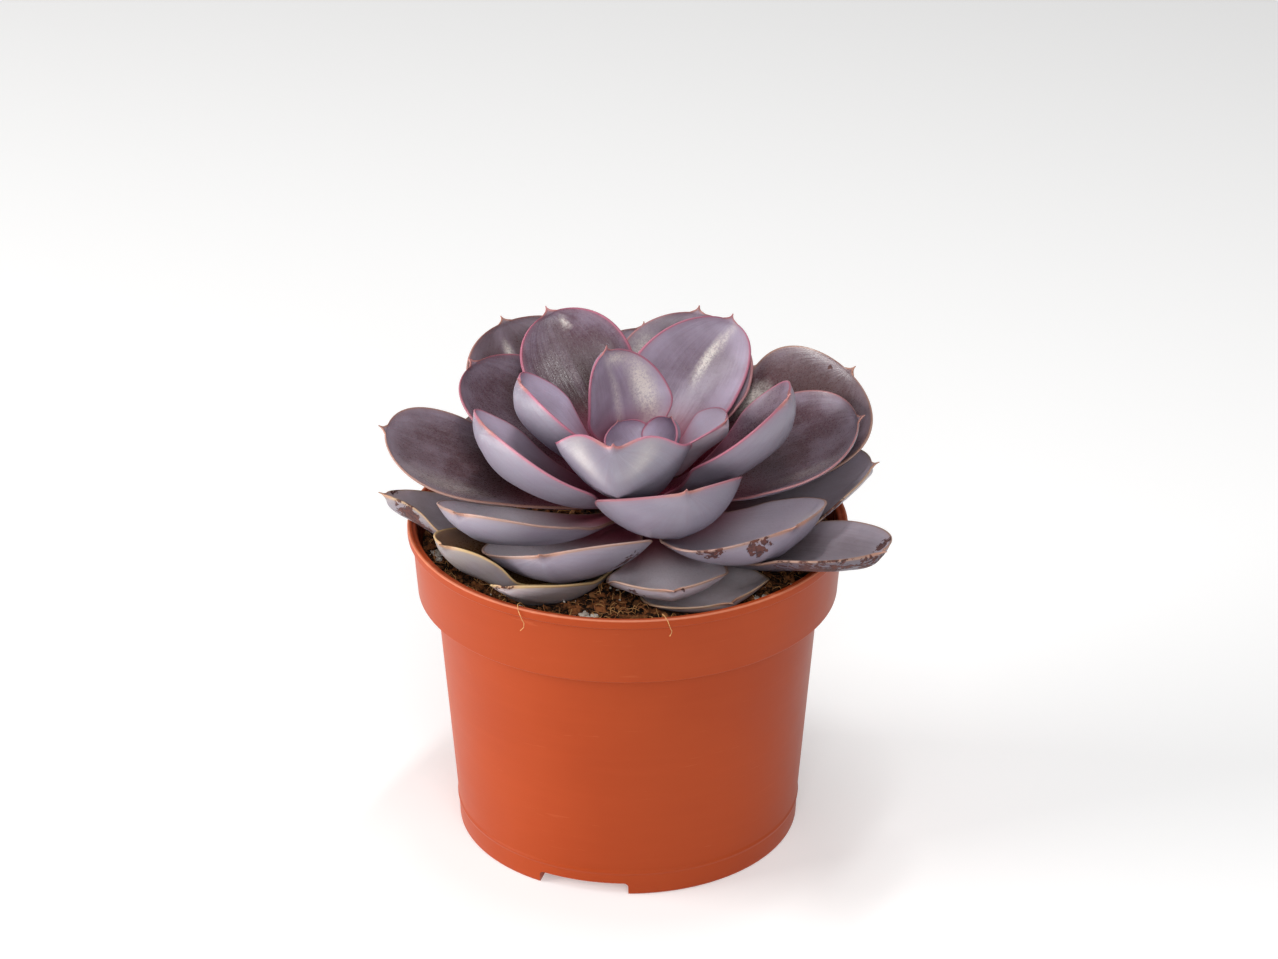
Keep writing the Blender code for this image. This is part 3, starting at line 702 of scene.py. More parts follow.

# %% [markdown]
# ## Growing the leaves
# Blender's grid operator makes the sheet, its points are moved onto the rings, and the seam is
# merged, so that the sheet becomes a tube. Filling its two open ends closes it. The facts are kept
# as numbers on the vertices, which a finish can read.

# %% Grow the leaves
FACTS = ("along", "across", "margin", "under", "scar", "pale", "age", "wax", "yellow", "below", "tone")


def add_leaf(bm, rings, facts, *whole):
    """Rolls a grid into the closed tube of one leaf and notes the facts at its points."""
    layers = [number_layer(bm, key) for key in FACTS]
    rows, around = rings.shape[:2]
    made = bmesh.ops.create_grid(bm, x_segments=around, y_segments=rows - 1, size=1.0)["verts"]
    for vert in made:
        i = round((vert.co.y + 1) / 2 * (rows - 1))
        j = round((vert.co.x + 1) / 2 * around) % around
        vert.co = Vector(rings[i, j]) * MM
        for layer, number in zip(layers, (*facts[i, j], *whole)):
            vert[layer] = number
    bmesh.ops.remove_doubles(bm, verts=made, dist=1e-7)
    made = [vert for vert in made if vert.is_valid]
    open_edges = list({e for vert in made for e in vert.link_edges if e.is_boundary})
    bmesh.ops.holes_fill(bm, edges=open_edges, sides=0)


def closed_leaves(bm):
    """Turns the faces of a bmesh of leaves outwards and shades them."""
    bmesh.ops.recalc_face_normals(bm, faces=bm.faces)
    smooth_by_angle(bm, 75)


leaf_meshes = {}
for index, (name, *_, wax, yellow, below) in enumerate(LEAVES):
    age = 1 - index / (len(LEAVES) - 1)
    tone = (index + 1) * 0.618 % 1.0
    leaf_meshes[name] = bmesh.new()
    rings, facts = leaf_rings(blades[name], bends[name], index + 1, name=name)
    add_leaf(leaf_meshes[name], rings, facts, age, wax, yellow, below, tone)
    closed_leaves(leaf_meshes[name])
print("points in one leaf:", len(leaf_meshes["leaf_01"].verts))

# %% [markdown]
# ## The skin of a leaf
# The flesh is brown where the leaf is old and mauve where it is young. Over it lies a pale wax,
# thin in the middle of an old upper face, rubbed into streaks along the leaf and thicker towards
# the margin. The finish reads the numbers that the mesh carries, so every pattern stays on the
# leaf from all sides. A finish of its own kind keeps those numbers and the shared patterns at hand.

# %% Gather what the leaf finish reads


class LeafFinish(Finish):
    """A finish with the facts of a leaf's mesh and the patterns that its layers share."""

    def __init__(self, name):
        super().__init__(name)
        for key in FACTS:
            setattr(self, key, self.grown(key))
        lengthways = self.stretched((self.across, self.along, self.tone), (9.0, 1.6, 37.0))
        self.streaks = self.noise(1.6, 3.0, 0.6, lengthways)
        self.patches = self.noise(110.0, 3.0, 0.55)
        self.grain = self.noise(1900.0, 2.0, 0.6)
        self.wrinkles = self.noise(1300.0, 3.0, 0.65, None, 0.9)
        self.rare = self.between(self.noise(60.0, 1.0), 0.56, 0.66)
        self.cover = self.wax_cover()
        # The pale marks as a mask: mostly painted highlights, glints on the wax, with some paler wax;
        # broken by a fine pattern on the upper face, smooth on the lower.
        brush = self.between(self.wrinkles, 0.36, 0.6, 0.4, 1.0)
        brush = self.maths("MAXIMUM", brush, self.times(self.under, 0.85))
        self.bright = self.times(self.pale, brush, clamp=True)

    def wax_cover(self):
        """How much wax covers the upper face, from 0 to 1."""
        cover = self.plus(self.wax, self.between(self.margin, 0.8, 8.0, 0.2, -0.07))
        cover = self.plus(cover, self.between(self.streaks, 0.3, 0.75, -0.05, 0.06))
        cover = self.plus(cover, self.between(self.patches, 0.3, 0.7, -0.12, 0.12), clamp=True)
        ripen = self.between(self.along, 0.4, 0.95, -0.2, 0.12)
        return self.plus(cover, self.times(ripen, self.between(self.age, 0.1, 0.6)), clamp=True)


print("facts that the leaves carry:", ", ".join(FACTS))

# %% [markdown]
# The two faces of a leaf look different. The upper one shows its flesh where the wax is thin, with
# tiny dark specks and fine wrinkles. The lower one is an even grey lilac, warmer in streaks. Both
# turn crimson towards the stem, where the flesh is thin and the wax doesn't reach.

# %% Colour the two faces


def upper_face(f):
    flesh = f.blend(f.age, srgb(90, 63, 78), srgb(70, 50, 45))
    flesh = f.blend(f.between(f.grain, 0.45, 0.75, 0.0, 0.3), flesh, srgb(96, 74, 74))
    bloom = f.blend(f.age, srgb(184, 168, 192), srgb(180, 170, 182))
    colour = f.blend(f.cover, flesh, bloom)
    # Painted light: past 1 the wax number lifts an upper face that lies in shade towards a pale colour.
    thick = f.maths("SUBTRACT", f.wax, 1.0, clamp=True)
    colour = f.blend(thick, colour, srgb(228, 218, 226))
    specks = f.between(f.noise(3200.0, 2.0, 0.6), 0.5, 0.7, 0.0, 0.2)
    specks = f.times(specks, f.between(f.cover, 0.2, 0.8, 1.0, 0.25))
    colour = f.blend(specks, colour, srgb(104, 56, 50))
    colour = f.blend(f.between(f.wrinkles, 0.45, 0.75, 0.0, 0.22), colour, srgb(158, 150, 156))
    # Pale marks below zero darken the upper face: partly painted shade in hollows, partly darker skin.
    colour = f.blend(f.times(f.pale, -0.95, clamp=True), colour, srgb(52, 26, 20))
    # Painted highlight: cream glints on the wax where the pale marks are, with some paler wax.
    colour = f.blend(f.times(f.bright, 0.95), colour, srgb(232, 222, 216))
    return f.blend(f.between(f.along, 0.15, 0.55, 0.92, 0.0), colour, srgb(136, 28, 60))


def lower_face(f):
    colour = f.blend(f.age, srgb(140, 132, 147), srgb(129, 121, 136))
    colour = f.blend(f.between(f.streaks, 0.35, 0.8, 0.0, 0.3), colour, srgb(130, 106, 124))
    colour = f.blend(f.between(f.patches, 0.35, 0.7, 0.0, 0.25), colour, srgb(142, 142, 152))
    colour = f.blend(f.between(f.along, 0.08, 0.34, 0.65, 0.0), colour, srgb(150, 50, 86))
    # Painted highlight: cream sheen on the lower face just under the margin.
    colour = f.blend(f.times(f.bright, 0.8), colour, srgb(232, 222, 212))
    # Painted light: the below number lifts lower faces that lie in shade towards pale lilac; below zero
    # it darkens them, partly as painted shade.
    colour = f.blend(f.times(f.below, 1.0, clamp=True), colour, srgb(206, 196, 208))
    return f.blend(f.times(f.below, -1.0, clamp=True), colour, srgb(70, 58, 72))


print("the upper and the lower face are ready to mix")

# %% [markdown]
# The margin is a fine line, pink on young leaves and the colour of straw on old ones, with a faint
# halo. Old leaves yellow in patches. Wounds heal as dark cork, at the listed marks and here and
# there along an old margin, and a few tiny pits dot the oldest skin.

# %% Colour the margin and the scars


def yellowed(f, colour):
    straw = f.blend(f.under, srgb(98, 66, 20), srgb(150, 142, 116))
    ripe = f.times(f.yellow, f.between(f.under, 0.0, 1.0, 1.0, 0.45))
    return f.blend(f.times(ripe, f.between(f.patches, 0.25, 0.7, 0.45, 0.95)), colour, straw)


def edged(f, colour):
    line = f.blend(f.between(f.age, 0.12, 0.55), srgb(178, 100, 122), srgb(152, 116, 102))
    line = f.blend(f.times(f.yellow, 0.7), line, srgb(206, 176, 110))
    colour = f.blend(f.between(f.margin, 0.1, 1.8, 0.14, 0.0), colour, line)
    colour = f.blend(f.between(f.margin, 0.06, 0.5, 0.85, 0.0), colour, line)
    tip = f.times(f.between(f.along, 0.985, 0.998), f.between(f.margin, 0.0, 0.8, 1.0, 0.0))
    return f.blend(f.times(tip, 0.5), colour, srgb(176, 124, 104))


def corky(f):
    """Where the skin has turned to cork, from 0 to 1."""
    band = f.times(f.between(f.margin, 0.4, 2.4, 1.0, 0.0), f.between(f.along, 0.5, 0.7))
    chance = f.times(f.times(f.rare, band), f.between(f.age, 0.3, 0.8, 0.0, 0.45))
    worn = f.between(f.noise(420.0, 4.0, 0.65, None, 0.6), 0.3, 0.7, -0.45, 0.45)
    return f.between(f.plus(f.plus(chance, f.scar), worn), 0.52, 0.64)


def scarred(f, colour, cork):
    dry = f.between(f.noise(900.0, 3.0, 0.6), 0.35, 0.65)
    colour = f.blend(f.times(cork, 0.93), colour, f.blend(dry, srgb(50, 16, 18), srgb(92, 44, 32)))
    pits = f.times(f.times(f.dots(260.0, 0.07), f.rare), f.between(f.age, 0.3, 0.8, 0.0, 0.35))
    return f.blend(pits, colour, srgb(58, 40, 40))


print("the margin, the yellowing and the scars are ready to mix")

# %% [markdown]
# Wax is less glossy than bare flesh, and cork is dull. Light enters a fleshy leaf a little way,
# which subsurface scattering gives. The relief goes from broad lumps to pores, each layer over the
# one before, so that it looks right near and far. The raised cork comes last.

# %% Mix the leaf finish


def leaf_finish():
    f = LeafFinish("leaf_skin")
    cork = corky(f)
    colour = f.blend(f.under, upper_face(f), lower_face(f))
    f.shade("Base Color", scarred(f, edged(f, yellowed(f, colour)), cork))
    gloss = f.between(f.cover, 0.1, 0.9, 0.3, 0.42)
    gloss = f.plus(gloss, f.times(f.under, 0.04))
    gloss = f.plus(gloss, f.between(f.grain, 0.3, 0.7, -0.05, 0.06))
    gloss = f.plus(gloss, f.times(cork, 0.3))
    f.shade("Roughness", f.maths("SUBTRACT", gloss, f.times(f.bright, 0.08)))
    f.shade("Specular IOR Level", 0.5)
    f.shade("Subsurface Weight", 0.12)
    f.shade("Subsurface Radius", (1.0, 0.45, 0.4))
    f.shade("Subsurface Scale", 0.0016)
    f.relief(
        (f.noise(70.0, 2.0, 0.5), 0.0008, 0.5),
        (f.streaks, 0.0004, 0.3),
        (f.wrinkles, 0.00012, 0.25),
        (f.grain, 0.00006, 0.3),
        (f.noise(5200.0, 1.0, 0.5), 0.00002, 0.8),
        (cork, 0.00015, 0.8),
    )
    return f.material


leaf_skin = leaf_finish()
print("leaf finish has", len(leaf_skin.node_tree.nodes), "nodes")

# %% [markdown]
# ## Putting the leaves in place
# Each fine leaf takes the place of its solid. Before its bmesh is handed over, its faces are
# copied into one search tree of all the leaves, which later tells where the soil and the things
# that lie on it have room.

leaf_points = []
leaf_faces = []
for index, (name, *_) in enumerate(LEAVES):
    bm = leaf_meshes.pop(name)
    bm.verts.index_update()
    shift = len(leaf_points)
    leaf_points += [v.co.copy() for v in bm.verts]
    leaf_faces += [[v.index + shift for v in face.verts] for face in bm.faces]
    finished(bm, name + "_skin", leaf_skin, name)
leaf_shell = BVHTree.FromPolygons(leaf_points, leaf_faces)
print("leaf triangles:", sum(triangles_in(p) for p in pieces))

# %% [markdown]
# ## The heart of the rosette
# At the growing point the youngest leaves have not opened yet. They are the same blades, smaller
# and steeper, and they stand on the short stem that carries all the others. Stem and young leaves
# grow as one, so they are one piece. The stem is a turned form, spun from its outline.

# %% Grow the heart
STEM_FOOT = 64.0
STEM_SHOULDER = 82.0
HEART_WIDEST = 0.62
STEM_FACTS = {"margin": 20.0, "wax": 0.1, "tone": 0.3}


def spun(outline, steps, centre=(0.0, 0.0)):
    """An outline of (radius, height) points, spun into a closed solid about an upright axis."""
    bm = bmesh.new()
    place = [Vector((centre[0] + r, centre[1], z)) * MM for r, z in outline]
    verts = [bm.verts.new(p) for p in place]
    edges = [bm.edges.new(pair) for pair in zip(verts, verts[1:])]
    bmesh.ops.spin(
        bm,
        geom=verts + edges,
        cent=Vector((centre[0], centre[1], 0.0)) * MM,
        axis=(0, 0, 1),
        angle=math.tau,
        steps=steps,
        use_merge=True,
    )
    bmesh.ops.remove_doubles(bm, verts=bm.verts, dist=1e-7)
    bmesh.ops.recalc_face_normals(bm, faces=bm.faces)
    return bm


stem_top = LAST_BASE + 1.5
stem_outline = [(0.0, LAST_BASE + 3.0)]
for i in range(9):
    z = stem_top - i * (stem_top - STEM_SHOULDER) / 8
    stem_outline.append((reach_of(z + 1.0) - 0.85, z))
stem_outline += [(FIRST_REACH - 1.2, STEM_FOOT + 4.0), (FIRST_REACH - 3.4, STEM_FOOT), (0.0, STEM_FOOT)]
heart_mesh = spun(stem_outline, 48, (PLANT_X, PLANT_Y))
for key in FACTS:
    layer = number_layer(heart_mesh, key)
    for vert in heart_mesh.verts:
        vert[layer] = STEM_FACTS.get(key, 0.0)
for index, (azimuth, start, reach, rise, curl, length, width, cup) in enumerate(HEART_LEAVES):
    blade = Blade(azimuth, start, reach, rise, curl, length, width, HEART_WIDEST, cup, 0, 0)
    rings, facts = leaf_rings(blade, None, 50 + index, 30, 17)
    add_leaf(heart_mesh, rings, facts, 0.0, 0.75, 0.0, 0.0, 0.1 * index)
closed_leaves(heart_mesh)
heart = finished(heart_mesh, "heart_skin", leaf_skin, "heart")
print("heart triangles:", triangles_in(heart))

# %% [markdown]
# ## The pot
# A plain nursery pot is moulded in thin plastic: a narrow lip, a deep collar, and a body that
# tapers to the foot, with a fine raised line above it. The pot is a turned form, so its outline is
# spun, from the middle of its floor up the inside and down the outside. Each corner has its real
# small radius, because that is where the light catches.

# %% Shape the pot
RIM_RADIUS = 60.0
RIM_TOP = 90.6
COLLAR_FOOT = 71.0
COLLAR_FOOT_RADIUS = 57.5
BODY_TOP_RADIUS = 52.4
BODY_FOOT_RADIUS = 47.8
FOOT_LINE = 7.0
WALL = 1.4
FLOOR = 2.0
POT_STEPS = 192


def rounded(corners):
    """An outline whose corners, given as (radius, height, rounding), become short arcs."""
    points = []
    for k, (r, z, size) in enumerate(corners):
        here = Vector((r, z))
        if size <= 0.0:
            points.append((r, z))
            continue
        before = (Vector(corners[k - 1][:2]) - here).normalized()
        after = (Vector(corners[k + 1][:2]) - here).normalized()
        for n in range(5):
            t = n / 4
            point = here + before * size * (1 - t) ** 2 + after * size * t**2
            points.append((point.x, point.y))
    return points


pot_outline = rounded(
    [
        (0.0, FLOOR, 0.0),
        (BODY_FOOT_RADIUS - WALL, FLOOR, 2.2),
        (BODY_TOP_RADIUS - WALL, COLLAR_FOOT - 2.4, 0.8),
        (COLLAR_FOOT_RADIUS - WALL - 0.5, COLLAR_FOOT + 0.8, 0.8),
        (RIM_RADIUS - 2.6, RIM_TOP - 0.6, 0.5),
        (RIM_RADIUS - 2.1, RIM_TOP - 0.35, 0.2),
        (RIM_RADIUS - 1.5, RIM_TOP - 0.35, 0.15),
        (RIM_RADIUS - 1.2, RIM_TOP, 0.2),
        (RIM_RADIUS, RIM_TOP, 0.45),
        (RIM_RADIUS, RIM_TOP - 2.5, 0.55),
        (RIM_RADIUS - 1.28, RIM_TOP - 2.7, 0.15),
        (COLLAR_FOOT_RADIUS, COLLAR_FOOT, 0.5),
        (BODY_TOP_RADIUS + 0.3, COLLAR_FOOT - 0.9, 0.9),
        (BODY_TOP_RADIUS, COLLAR_FOOT - 2.8, 0.6),
        (BODY_FOOT_RADIUS + 0.07, FOOT_LINE + 0.8, 0.3),
        (BODY_FOOT_RADIUS + 0.35, FOOT_LINE, 0.3),
        (BODY_FOOT_RADIUS, FOOT_LINE - 0.8, 0.3),
        (BODY_FOOT_RADIUS - 0.25, 0.0, 0.8),
        (0.0, 0.0, 0.0),
    ]
)
pot_blank = spun(pot_outline, POT_STEPS)
print("pot outline points:", len(pot_outline))

# %% [markdown]
# ## The drain pockets
# The floor is raised in three pockets that open at the foot, each with a round hole, so that water
# runs out where the pot stands flat. On a solid of revolution they are easiest to make with
# Booleans: the roofs of the pockets are joined on first, then the pockets and the holes are cut.

# %% Cut the drain pockets
POCKET_TURNS = [math.radians(-15 + 120 * i) for i in range(3)]
POCKET_WIDTH = 25.0
POCKET_HEIGHT = 3.6
POCKET_REACH = 27.0
DRAIN_HOLE_RADIUS = 4.0
DRAIN_HOLE_OUT = 37.0
ROOF_HEIGHT = POCKET_HEIGHT + 1.6


def pocket_blocks(grow, top, inner):
    """Three rounded blocks round the foot, in an object that a Boolean can use."""
    bm = bmesh.new()
    for turn in POCKET_TURNS:
        reach = RIM_RADIUS - inner
        made = bmesh.ops.create_cube(bm, size=1.0)["verts"]
        size = Vector((POCKET_WIDTH + 2 * grow, reach, 2 * top))
        bmesh.ops.scale(bm, vec=size * MM, verts=made)
        bmesh.ops.translate(bm, vec=(0, -(inner + reach / 2) * MM, 0), verts=made)
        around = {e for v in made for e in v.link_edges}
        tops = [e for e in around if min(v.co.z for v in e.verts) > 0]
        rims = [e for e in tops if abs(e.verts[0].co.y - e.verts[1].co.y) > 1e-3]
        result = bmesh.ops.bevel(
            bm, geom=rims, offset=1.2 * MM, segments=5, profile=0.5, affect="EDGES", material=-1
        )
        every = [v for v in set(made) | set(result["verts"]) if v.is_valid]
        bmesh.ops.rotate(bm, cent=(0, 0, 0), matrix=Matrix.Rotation(turn, 3, "Z"), verts=every)
    return placed(bm, "pocket_tool")


def combined(base, steps):
    """Applies Boolean steps to an object and removes it and the tools."""
    for operation, tool in steps:
        modifier = base.modifiers.new(operation.lower(), "BOOLEAN")
        modifier.operation = operation
        modifier.solver = "MANIFOLD"
        modifier.object = tool
    mesh = bpy.data.meshes.new_from_object(base.evaluated_get(bpy.context.evaluated_depsgraph_get()))
    bm = bmesh.new()
    bm.from_mesh(mesh)
    for obj in [base] + [tool for _, tool in steps]:
        bpy.data.objects.remove(obj)
    return bm


within_wall = placed(spun([(0.0, 12.0), (47.0, 12.0), (47.0, 0.6), (0.0, 0.6)], POT_STEPS), "limit_tool")
roofs = combined(pocket_blocks(WALL, ROOF_HEIGHT, POCKET_REACH - WALL), [("INTERSECT", within_wall)])
holes = bmesh.new()
for turn in POCKET_TURNS:
    out = Matrix.Translation((0, -DRAIN_HOLE_OUT * MM, 4.0 * MM))
    bmesh.ops.create_cone(
        holes,
        cap_ends=True,
        segments=32,
        radius1=DRAIN_HOLE_RADIUS * MM,
        radius2=DRAIN_HOLE_RADIUS * MM,
        depth=12.0 * MM,
        matrix=Matrix.Rotation(turn, 4, "Z") @ out,
    )
cuts = [
    ("UNION", placed(roofs, "roof_tool")),
    ("DIFFERENCE", pocket_blocks(0.0, POCKET_HEIGHT, POCKET_REACH)),
    ("DIFFERENCE", placed(holes, "hole_tool")),
]
pot_mesh = combined(placed(pot_blank, "pot_blank"), cuts)
smooth_by_angle(pot_mesh, 32)
print("pot faces after the cuts:", len(pot_mesh.faces))

# %% [markdown]
# ## The pot's plastic
# Terracotta-coloured plastic is one colour all through, so its life is in the surface: a satin
# gloss that is never quite even, faint drag lines from the mould, small scratches that turn paler,
# soil dust on the inside wall, darkened further there as painted shade, a paler line where the top
# of the lip is rubbed, and a painted highlight along its outer edge. Lines run round the pot
# when the noise is stretched: small steps sideways and large ones upwards.

# %% Mix the plastic


def plastic_finish():
    f = Finish("terracotta_plastic")
    split = f.node("ShaderNodeSeparateXYZ")
    f.put(f.place, split.inputs[0])
    x, y, z = split.outputs
    radius = f.maths("SQRT", f.plus(f.times(x, x), f.times(y, y)))
    clouds = f.noise(26.0, 3.0, 0.5)
    drag = f.noise(1.0, 3.0, 0.6, f.stretched((x, y, z), (30.0, 30.0, 320.0)))
    colour = f.blend(f.between(clouds, 0.3, 0.7), srgb(156, 60, 22), srgb(161, 64, 25))
    colour = f.blend(f.between(drag, 0.4, 0.8, 0.0, 0.25), colour, srgb(167, 67, 28))
    scratch = f.noise(1.0, 2.0, 0.4, f.stretched((x, y, z), (60.0, 60.0, 900.0)), 1.2)
    scratch = f.between(scratch, 0.72, 0.76, 0.0, 0.22)
    colour = f.blend(scratch, colour, srgb(186, 96, 60))
    # Soil dust and painted shade: a broken dark band on the inside wall above the soil.
    dust_and_painted_shade = f.times(f.between(radius, 0.0572, 0.0578, 1.0, 0.0), f.between(z, 0.075, 0.088))
    dust_and_painted_shade = f.times(dust_and_painted_shade, f.between(f.noise(420.0, 4.0, 0.7), 0.36, 0.6))
    colour = f.blend(f.times(dust_and_painted_shade, 0.85), colour, srgb(62, 34, 22))
    worn = f.between(f.noise(300.0, 3.0, 0.6), 0.5, 0.75, 0.0, 0.2)
    colour = f.blend(f.times(f.between(z, 0.0898, 0.0905), worn), colour, srgb(226, 150, 120))
    # A painted highlight: a thin paler line along the outer top edge of the lip.
    edge = f.times(f.between(z, 0.09015, 0.09045), f.between(radius, 0.0592, 0.0596))
    colour = f.blend(f.times(edge, 0.4), colour, srgb(236, 160, 128))
    f.shade("Base Color", colour)
    gloss = f.plus(f.between(clouds, 0.25, 0.75, 0.38, 0.46), f.times(scratch, 0.2))
    f.shade("Roughness", f.plus(gloss, f.times(dust_and_painted_shade, 0.4)))
    f.shade("Specular IOR Level", 0.15)
    f.shade("Subsurface Weight", 0.08)
    f.shade("Subsurface Radius", (1.0, 0.3, 0.15))
    f.shade("Subsurface Scale", 0.001)
    f.relief(
        (f.noise(55.0, 2.0, 0.4), 0.0004, 0.4),
        (drag, 0.00008, 0.4),
        (f.noise(2600.0, 2.0, 0.5), 0.00002, 0.6),
    )
    return f.material


pot = finished(pot_mesh, "pot_shell", plastic_finish(), "pot")
print("pot triangles:", triangles_in(pot))

# %% [markdown]
# ## The soil
# Peat settles a few millimetres under the lip, in mounds, and gives way under a leaf that lies on
# it. A spun disc is pushed into mounds with noise, then lowered wherever a ray straight up from a
# point meets a leaf too soon.

# %% Heap the soil
SOIL_TOP = 83.8
SOIL_RADIUS = 56.0
SOIL_RINGS = 76
SOIL_STEPS = 240
LEAF_GAP = 0.35


def soil_height(x, y):
    """Height of the soil's broad surface: low mounds, a little higher behind and to the right."""
    big = noise.noise(Vector((x * 0.045, y * 0.045, 3.1)))
    small = noise.noise(Vector((x * 0.16, y * 0.16, 9.7)))
    far = math.hypot(x, y) / SOIL_RADIUS
    slope = 1.1 * max(0.0, (0.5 * x + 0.8 * y) / SOIL_RADIUS)
    return SOIL_TOP + 0.7 * big + 0.5 * small + (0.4 + slope) * far * far


def leaf_above(x, y):
    """Height of the lowest leaf over a point, or a great height where there is none."""
    hit = leaf_shell.ray_cast(Vector((x, y, 70.0)) * MM, Vector((0, 0, 1)), 0.05)[0]
    return hit.z / MM if hit is not None else 1000.0


def crumbly(x, y):
    """The soil's surface with its crumbs, kept below the leaves."""
    rough = 0.8 * noise.noise(Vector((x * 0.5, y * 0.5, 1.0)))
    rough += 0.5 * noise.noise(Vector((x * 1.3, y * 1.3, 5.0)))
    height = soil_height(x, y) + rough + 0.25 * abs(noise.noise(Vector((x * 2.4, y * 2.4, 8.0))))
    return min(height, leaf_above(x, y) - LEAF_GAP)


soil_outline = [(SOIL_RADIUS * k / SOIL_RINGS, SOIL_TOP) for k in range(SOIL_RINGS + 1)]
soil_outline += [(55.7, 80.0), (55.3, 73.4), (50.6, 68.6), (46.5, 8.0), (44.0, 5.8), (0.0, 5.8)]
soil_mesh = spun(soil_outline, SOIL_STEPS)
for vert in soil_mesh.verts:
    if vert.co.z > (SOIL_TOP - 0.5) * MM:
        vert.co.z = crumbly(vert.co.x / MM, vert.co.y / MM) * MM
smooth_by_angle(soil_mesh, 60)
print("soil points:", len(soil_mesh.verts))

# %% [markdown]
# Peat is almost black where it is wet and deep, and brown on dry crumbs. One finish serves the bed,
# the crumbs and the white grains: a tone number on every point says how dry it is, and near 1 it
# turns the peat to perlite.

# %% Mix the peat finish


def peat_finish():
    f = Finish("peat")
    tone = f.grown("tone")
    lumps = f.noise(300.0, 4.0, 0.7)
    grain = f.noise(1500.0, 3.0, 0.7)
    colour = f.blend(f.between(lumps, 0.44, 0.64), srgb(16, 9, 7), srgb(150, 92, 54))
    colour = f.blend(f.between(grain, 0.5, 0.75, 0.0, 0.7), colour, srgb(160, 104, 64))
    colour = f.blend(f.times(f.between(tone, 0.25, 0.75), 0.55), colour, srgb(164, 110, 68))
    perlite = f.blend(f.between(grain, 0.4, 0.7), srgb(214, 206, 196), srgb(168, 154, 140))
    f.shade("Base Color", f.blend(f.between(tone, 0.9, 0.96), colour, perlite))
    f.shade("Roughness", f.between(grain, 0.3, 0.7, 0.8, 0.98))
    f.shade("Specular IOR Level", 0.165)
    f.relief((lumps, 0.0008, 0.9), (grain, 0.0003, 0.9))
    return f.material


peat = peat_finish()
tone_layer = number_layer(soil_mesh, "tone")
for vert in soil_mesh.verts:
    vert[tone_layer] = 0.15 + 0.25 * noise.noise(vert.co * 220.0)
soil = finished(soil_mesh, "soil_bed", peat, "soil")
print("soil triangles:", triangles_in(soil))

# %% [markdown]
# ## Crumbs and perlite
# Loose crumbs lie on the soil, and among them the white grains of perlite that growers mix in.
# There are fifteen hundred, so each is only a squashed ball with few faces, tumbled at random. They are
# made in handfuls, because Blender's operators slow down in a bmesh that is already full. The
# larger white grains stand at given places.

# %% Scatter the crumbs and the perlite
CRUMB_HANDFULS = 30
CRUMBS_IN_HAND = 50
PERLITE_SHARE = 0.07
WHITE_GRAINS = [(-52.0, -9.6, 1.7), (-50.6, -12.4, 1.0), (-14.2, -45.6, 1.2), (-11.2, -45.0, 1.6)]
WHITE_GRAINS += [(-8.6, -45.8, 1.0), (34.0, -36.0, 1.3), (36.5, -34.6, 0.9), (0.5, -52.0, 0.8)]
dice = random.Random(7)


def bare_spot(low, high, room):
    """A random point of the soil with no leaf close above it."""
    while True:
        turn = dice.uniform(0.0, math.tau)
        out = math.sqrt(dice.uniform(low * low, high * high))
        x, y = out * math.sin(turn), -out * math.cos(turn)
        if leaf_above(x, y) > soil_height(x, y) + room:
            return x, y


def crumb(bm):
    """Adds one squashed lump to a bmesh, on a bare spot of the soil."""
    layer = number_layer(bm, "tone")
    radius = 0.25 + 1.0 * dice.random() ** 3
    x, y = bare_spot(20.0, 55.2 - radius, 2.4 * radius)
    tone = 1.0 if dice.random() < PERLITE_SHARE else dice.uniform(0.0, 0.85)
    made = bmesh.ops.create_icosphere(bm, subdivisions=1, radius=radius * MM)["verts"]
    shape = (dice.uniform(0.7, 1.3), dice.uniform(0.7, 1.2), dice.uniform(0.5, 0.85))
    bmesh.ops.scale(bm, vec=shape, verts=made)
    spin = Matrix.Rotation(dice.uniform(0.0, math.tau), 3, (dice.random(), dice.random(), 1.0))
    bmesh.ops.rotate(bm, cent=(0, 0, 0), matrix=spin, verts=made)
    for vert in made:
        vert.co *= dice.uniform(0.7, 1.3)
        vert[layer] = tone
    bmesh.ops.translate(bm, vec=Vector((x, y, crumbly(x, y) + 0.2 * radius)) * MM, verts=made)


def perlite_grain(bm, x, y, radius):
    """A larger white grain at a given place, broken and rough."""
    layer = number_layer(bm, "tone")
    made = bmesh.ops.create_icosphere(bm, subdivisions=2, radius=radius * MM)["verts"]
    for vert in made:
        vert.co *= 1.0 + 0.7 * noise.noise(vert.co * 900.0 + Vector((x, y, 0.0)))
        vert.co.z *= 0.65
        vert[layer] = 1.0
    bmesh.ops.translate(bm, vec=Vector((x, y, crumbly(x, y) + 0.1 * radius)) * MM, verts=made)


def strewn(make_one, handfuls, in_hand):
    """A bmesh of many small things, made a handful at a time."""
    every = bmesh.new()
    for _ in range(handfuls):
        few = bmesh.new()
        for _ in range(in_hand):
            make_one(few)
        mesh = bpy.data.meshes.new("handful")
        few.to_mesh(mesh)
        few.free()
        every.from_mesh(mesh)
        bpy.data.meshes.remove(mesh)
    return every


crumb_mesh = strewn(crumb, CRUMB_HANDFULS, CRUMBS_IN_HAND)
for x, y, radius in WHITE_GRAINS:
    perlite_grain(crumb_mesh, x, y, radius)
smooth_by_angle(crumb_mesh, 50)
crumbs = finished(crumb_mesh, "soil_crumbs", peat)
print("crumb triangles:", triangles_in(crumbs))

# %% [markdown]
# ## Fibres
# Coir fibres are thin, stiff and pale brown. Most lie on the soil and rise a little in the middle,
# and two hang over the lip at the front. Each is a thin tube, made by extruding a small ring from
# point to point of its path, and turning the ring as the path turns.

# %% Lay the fibres
FIBRE_HANDFULS = 26
FIBRES_IN_HAND = 25
FIBRE_POINTS = 7
SOIL_EDGE = 55.4


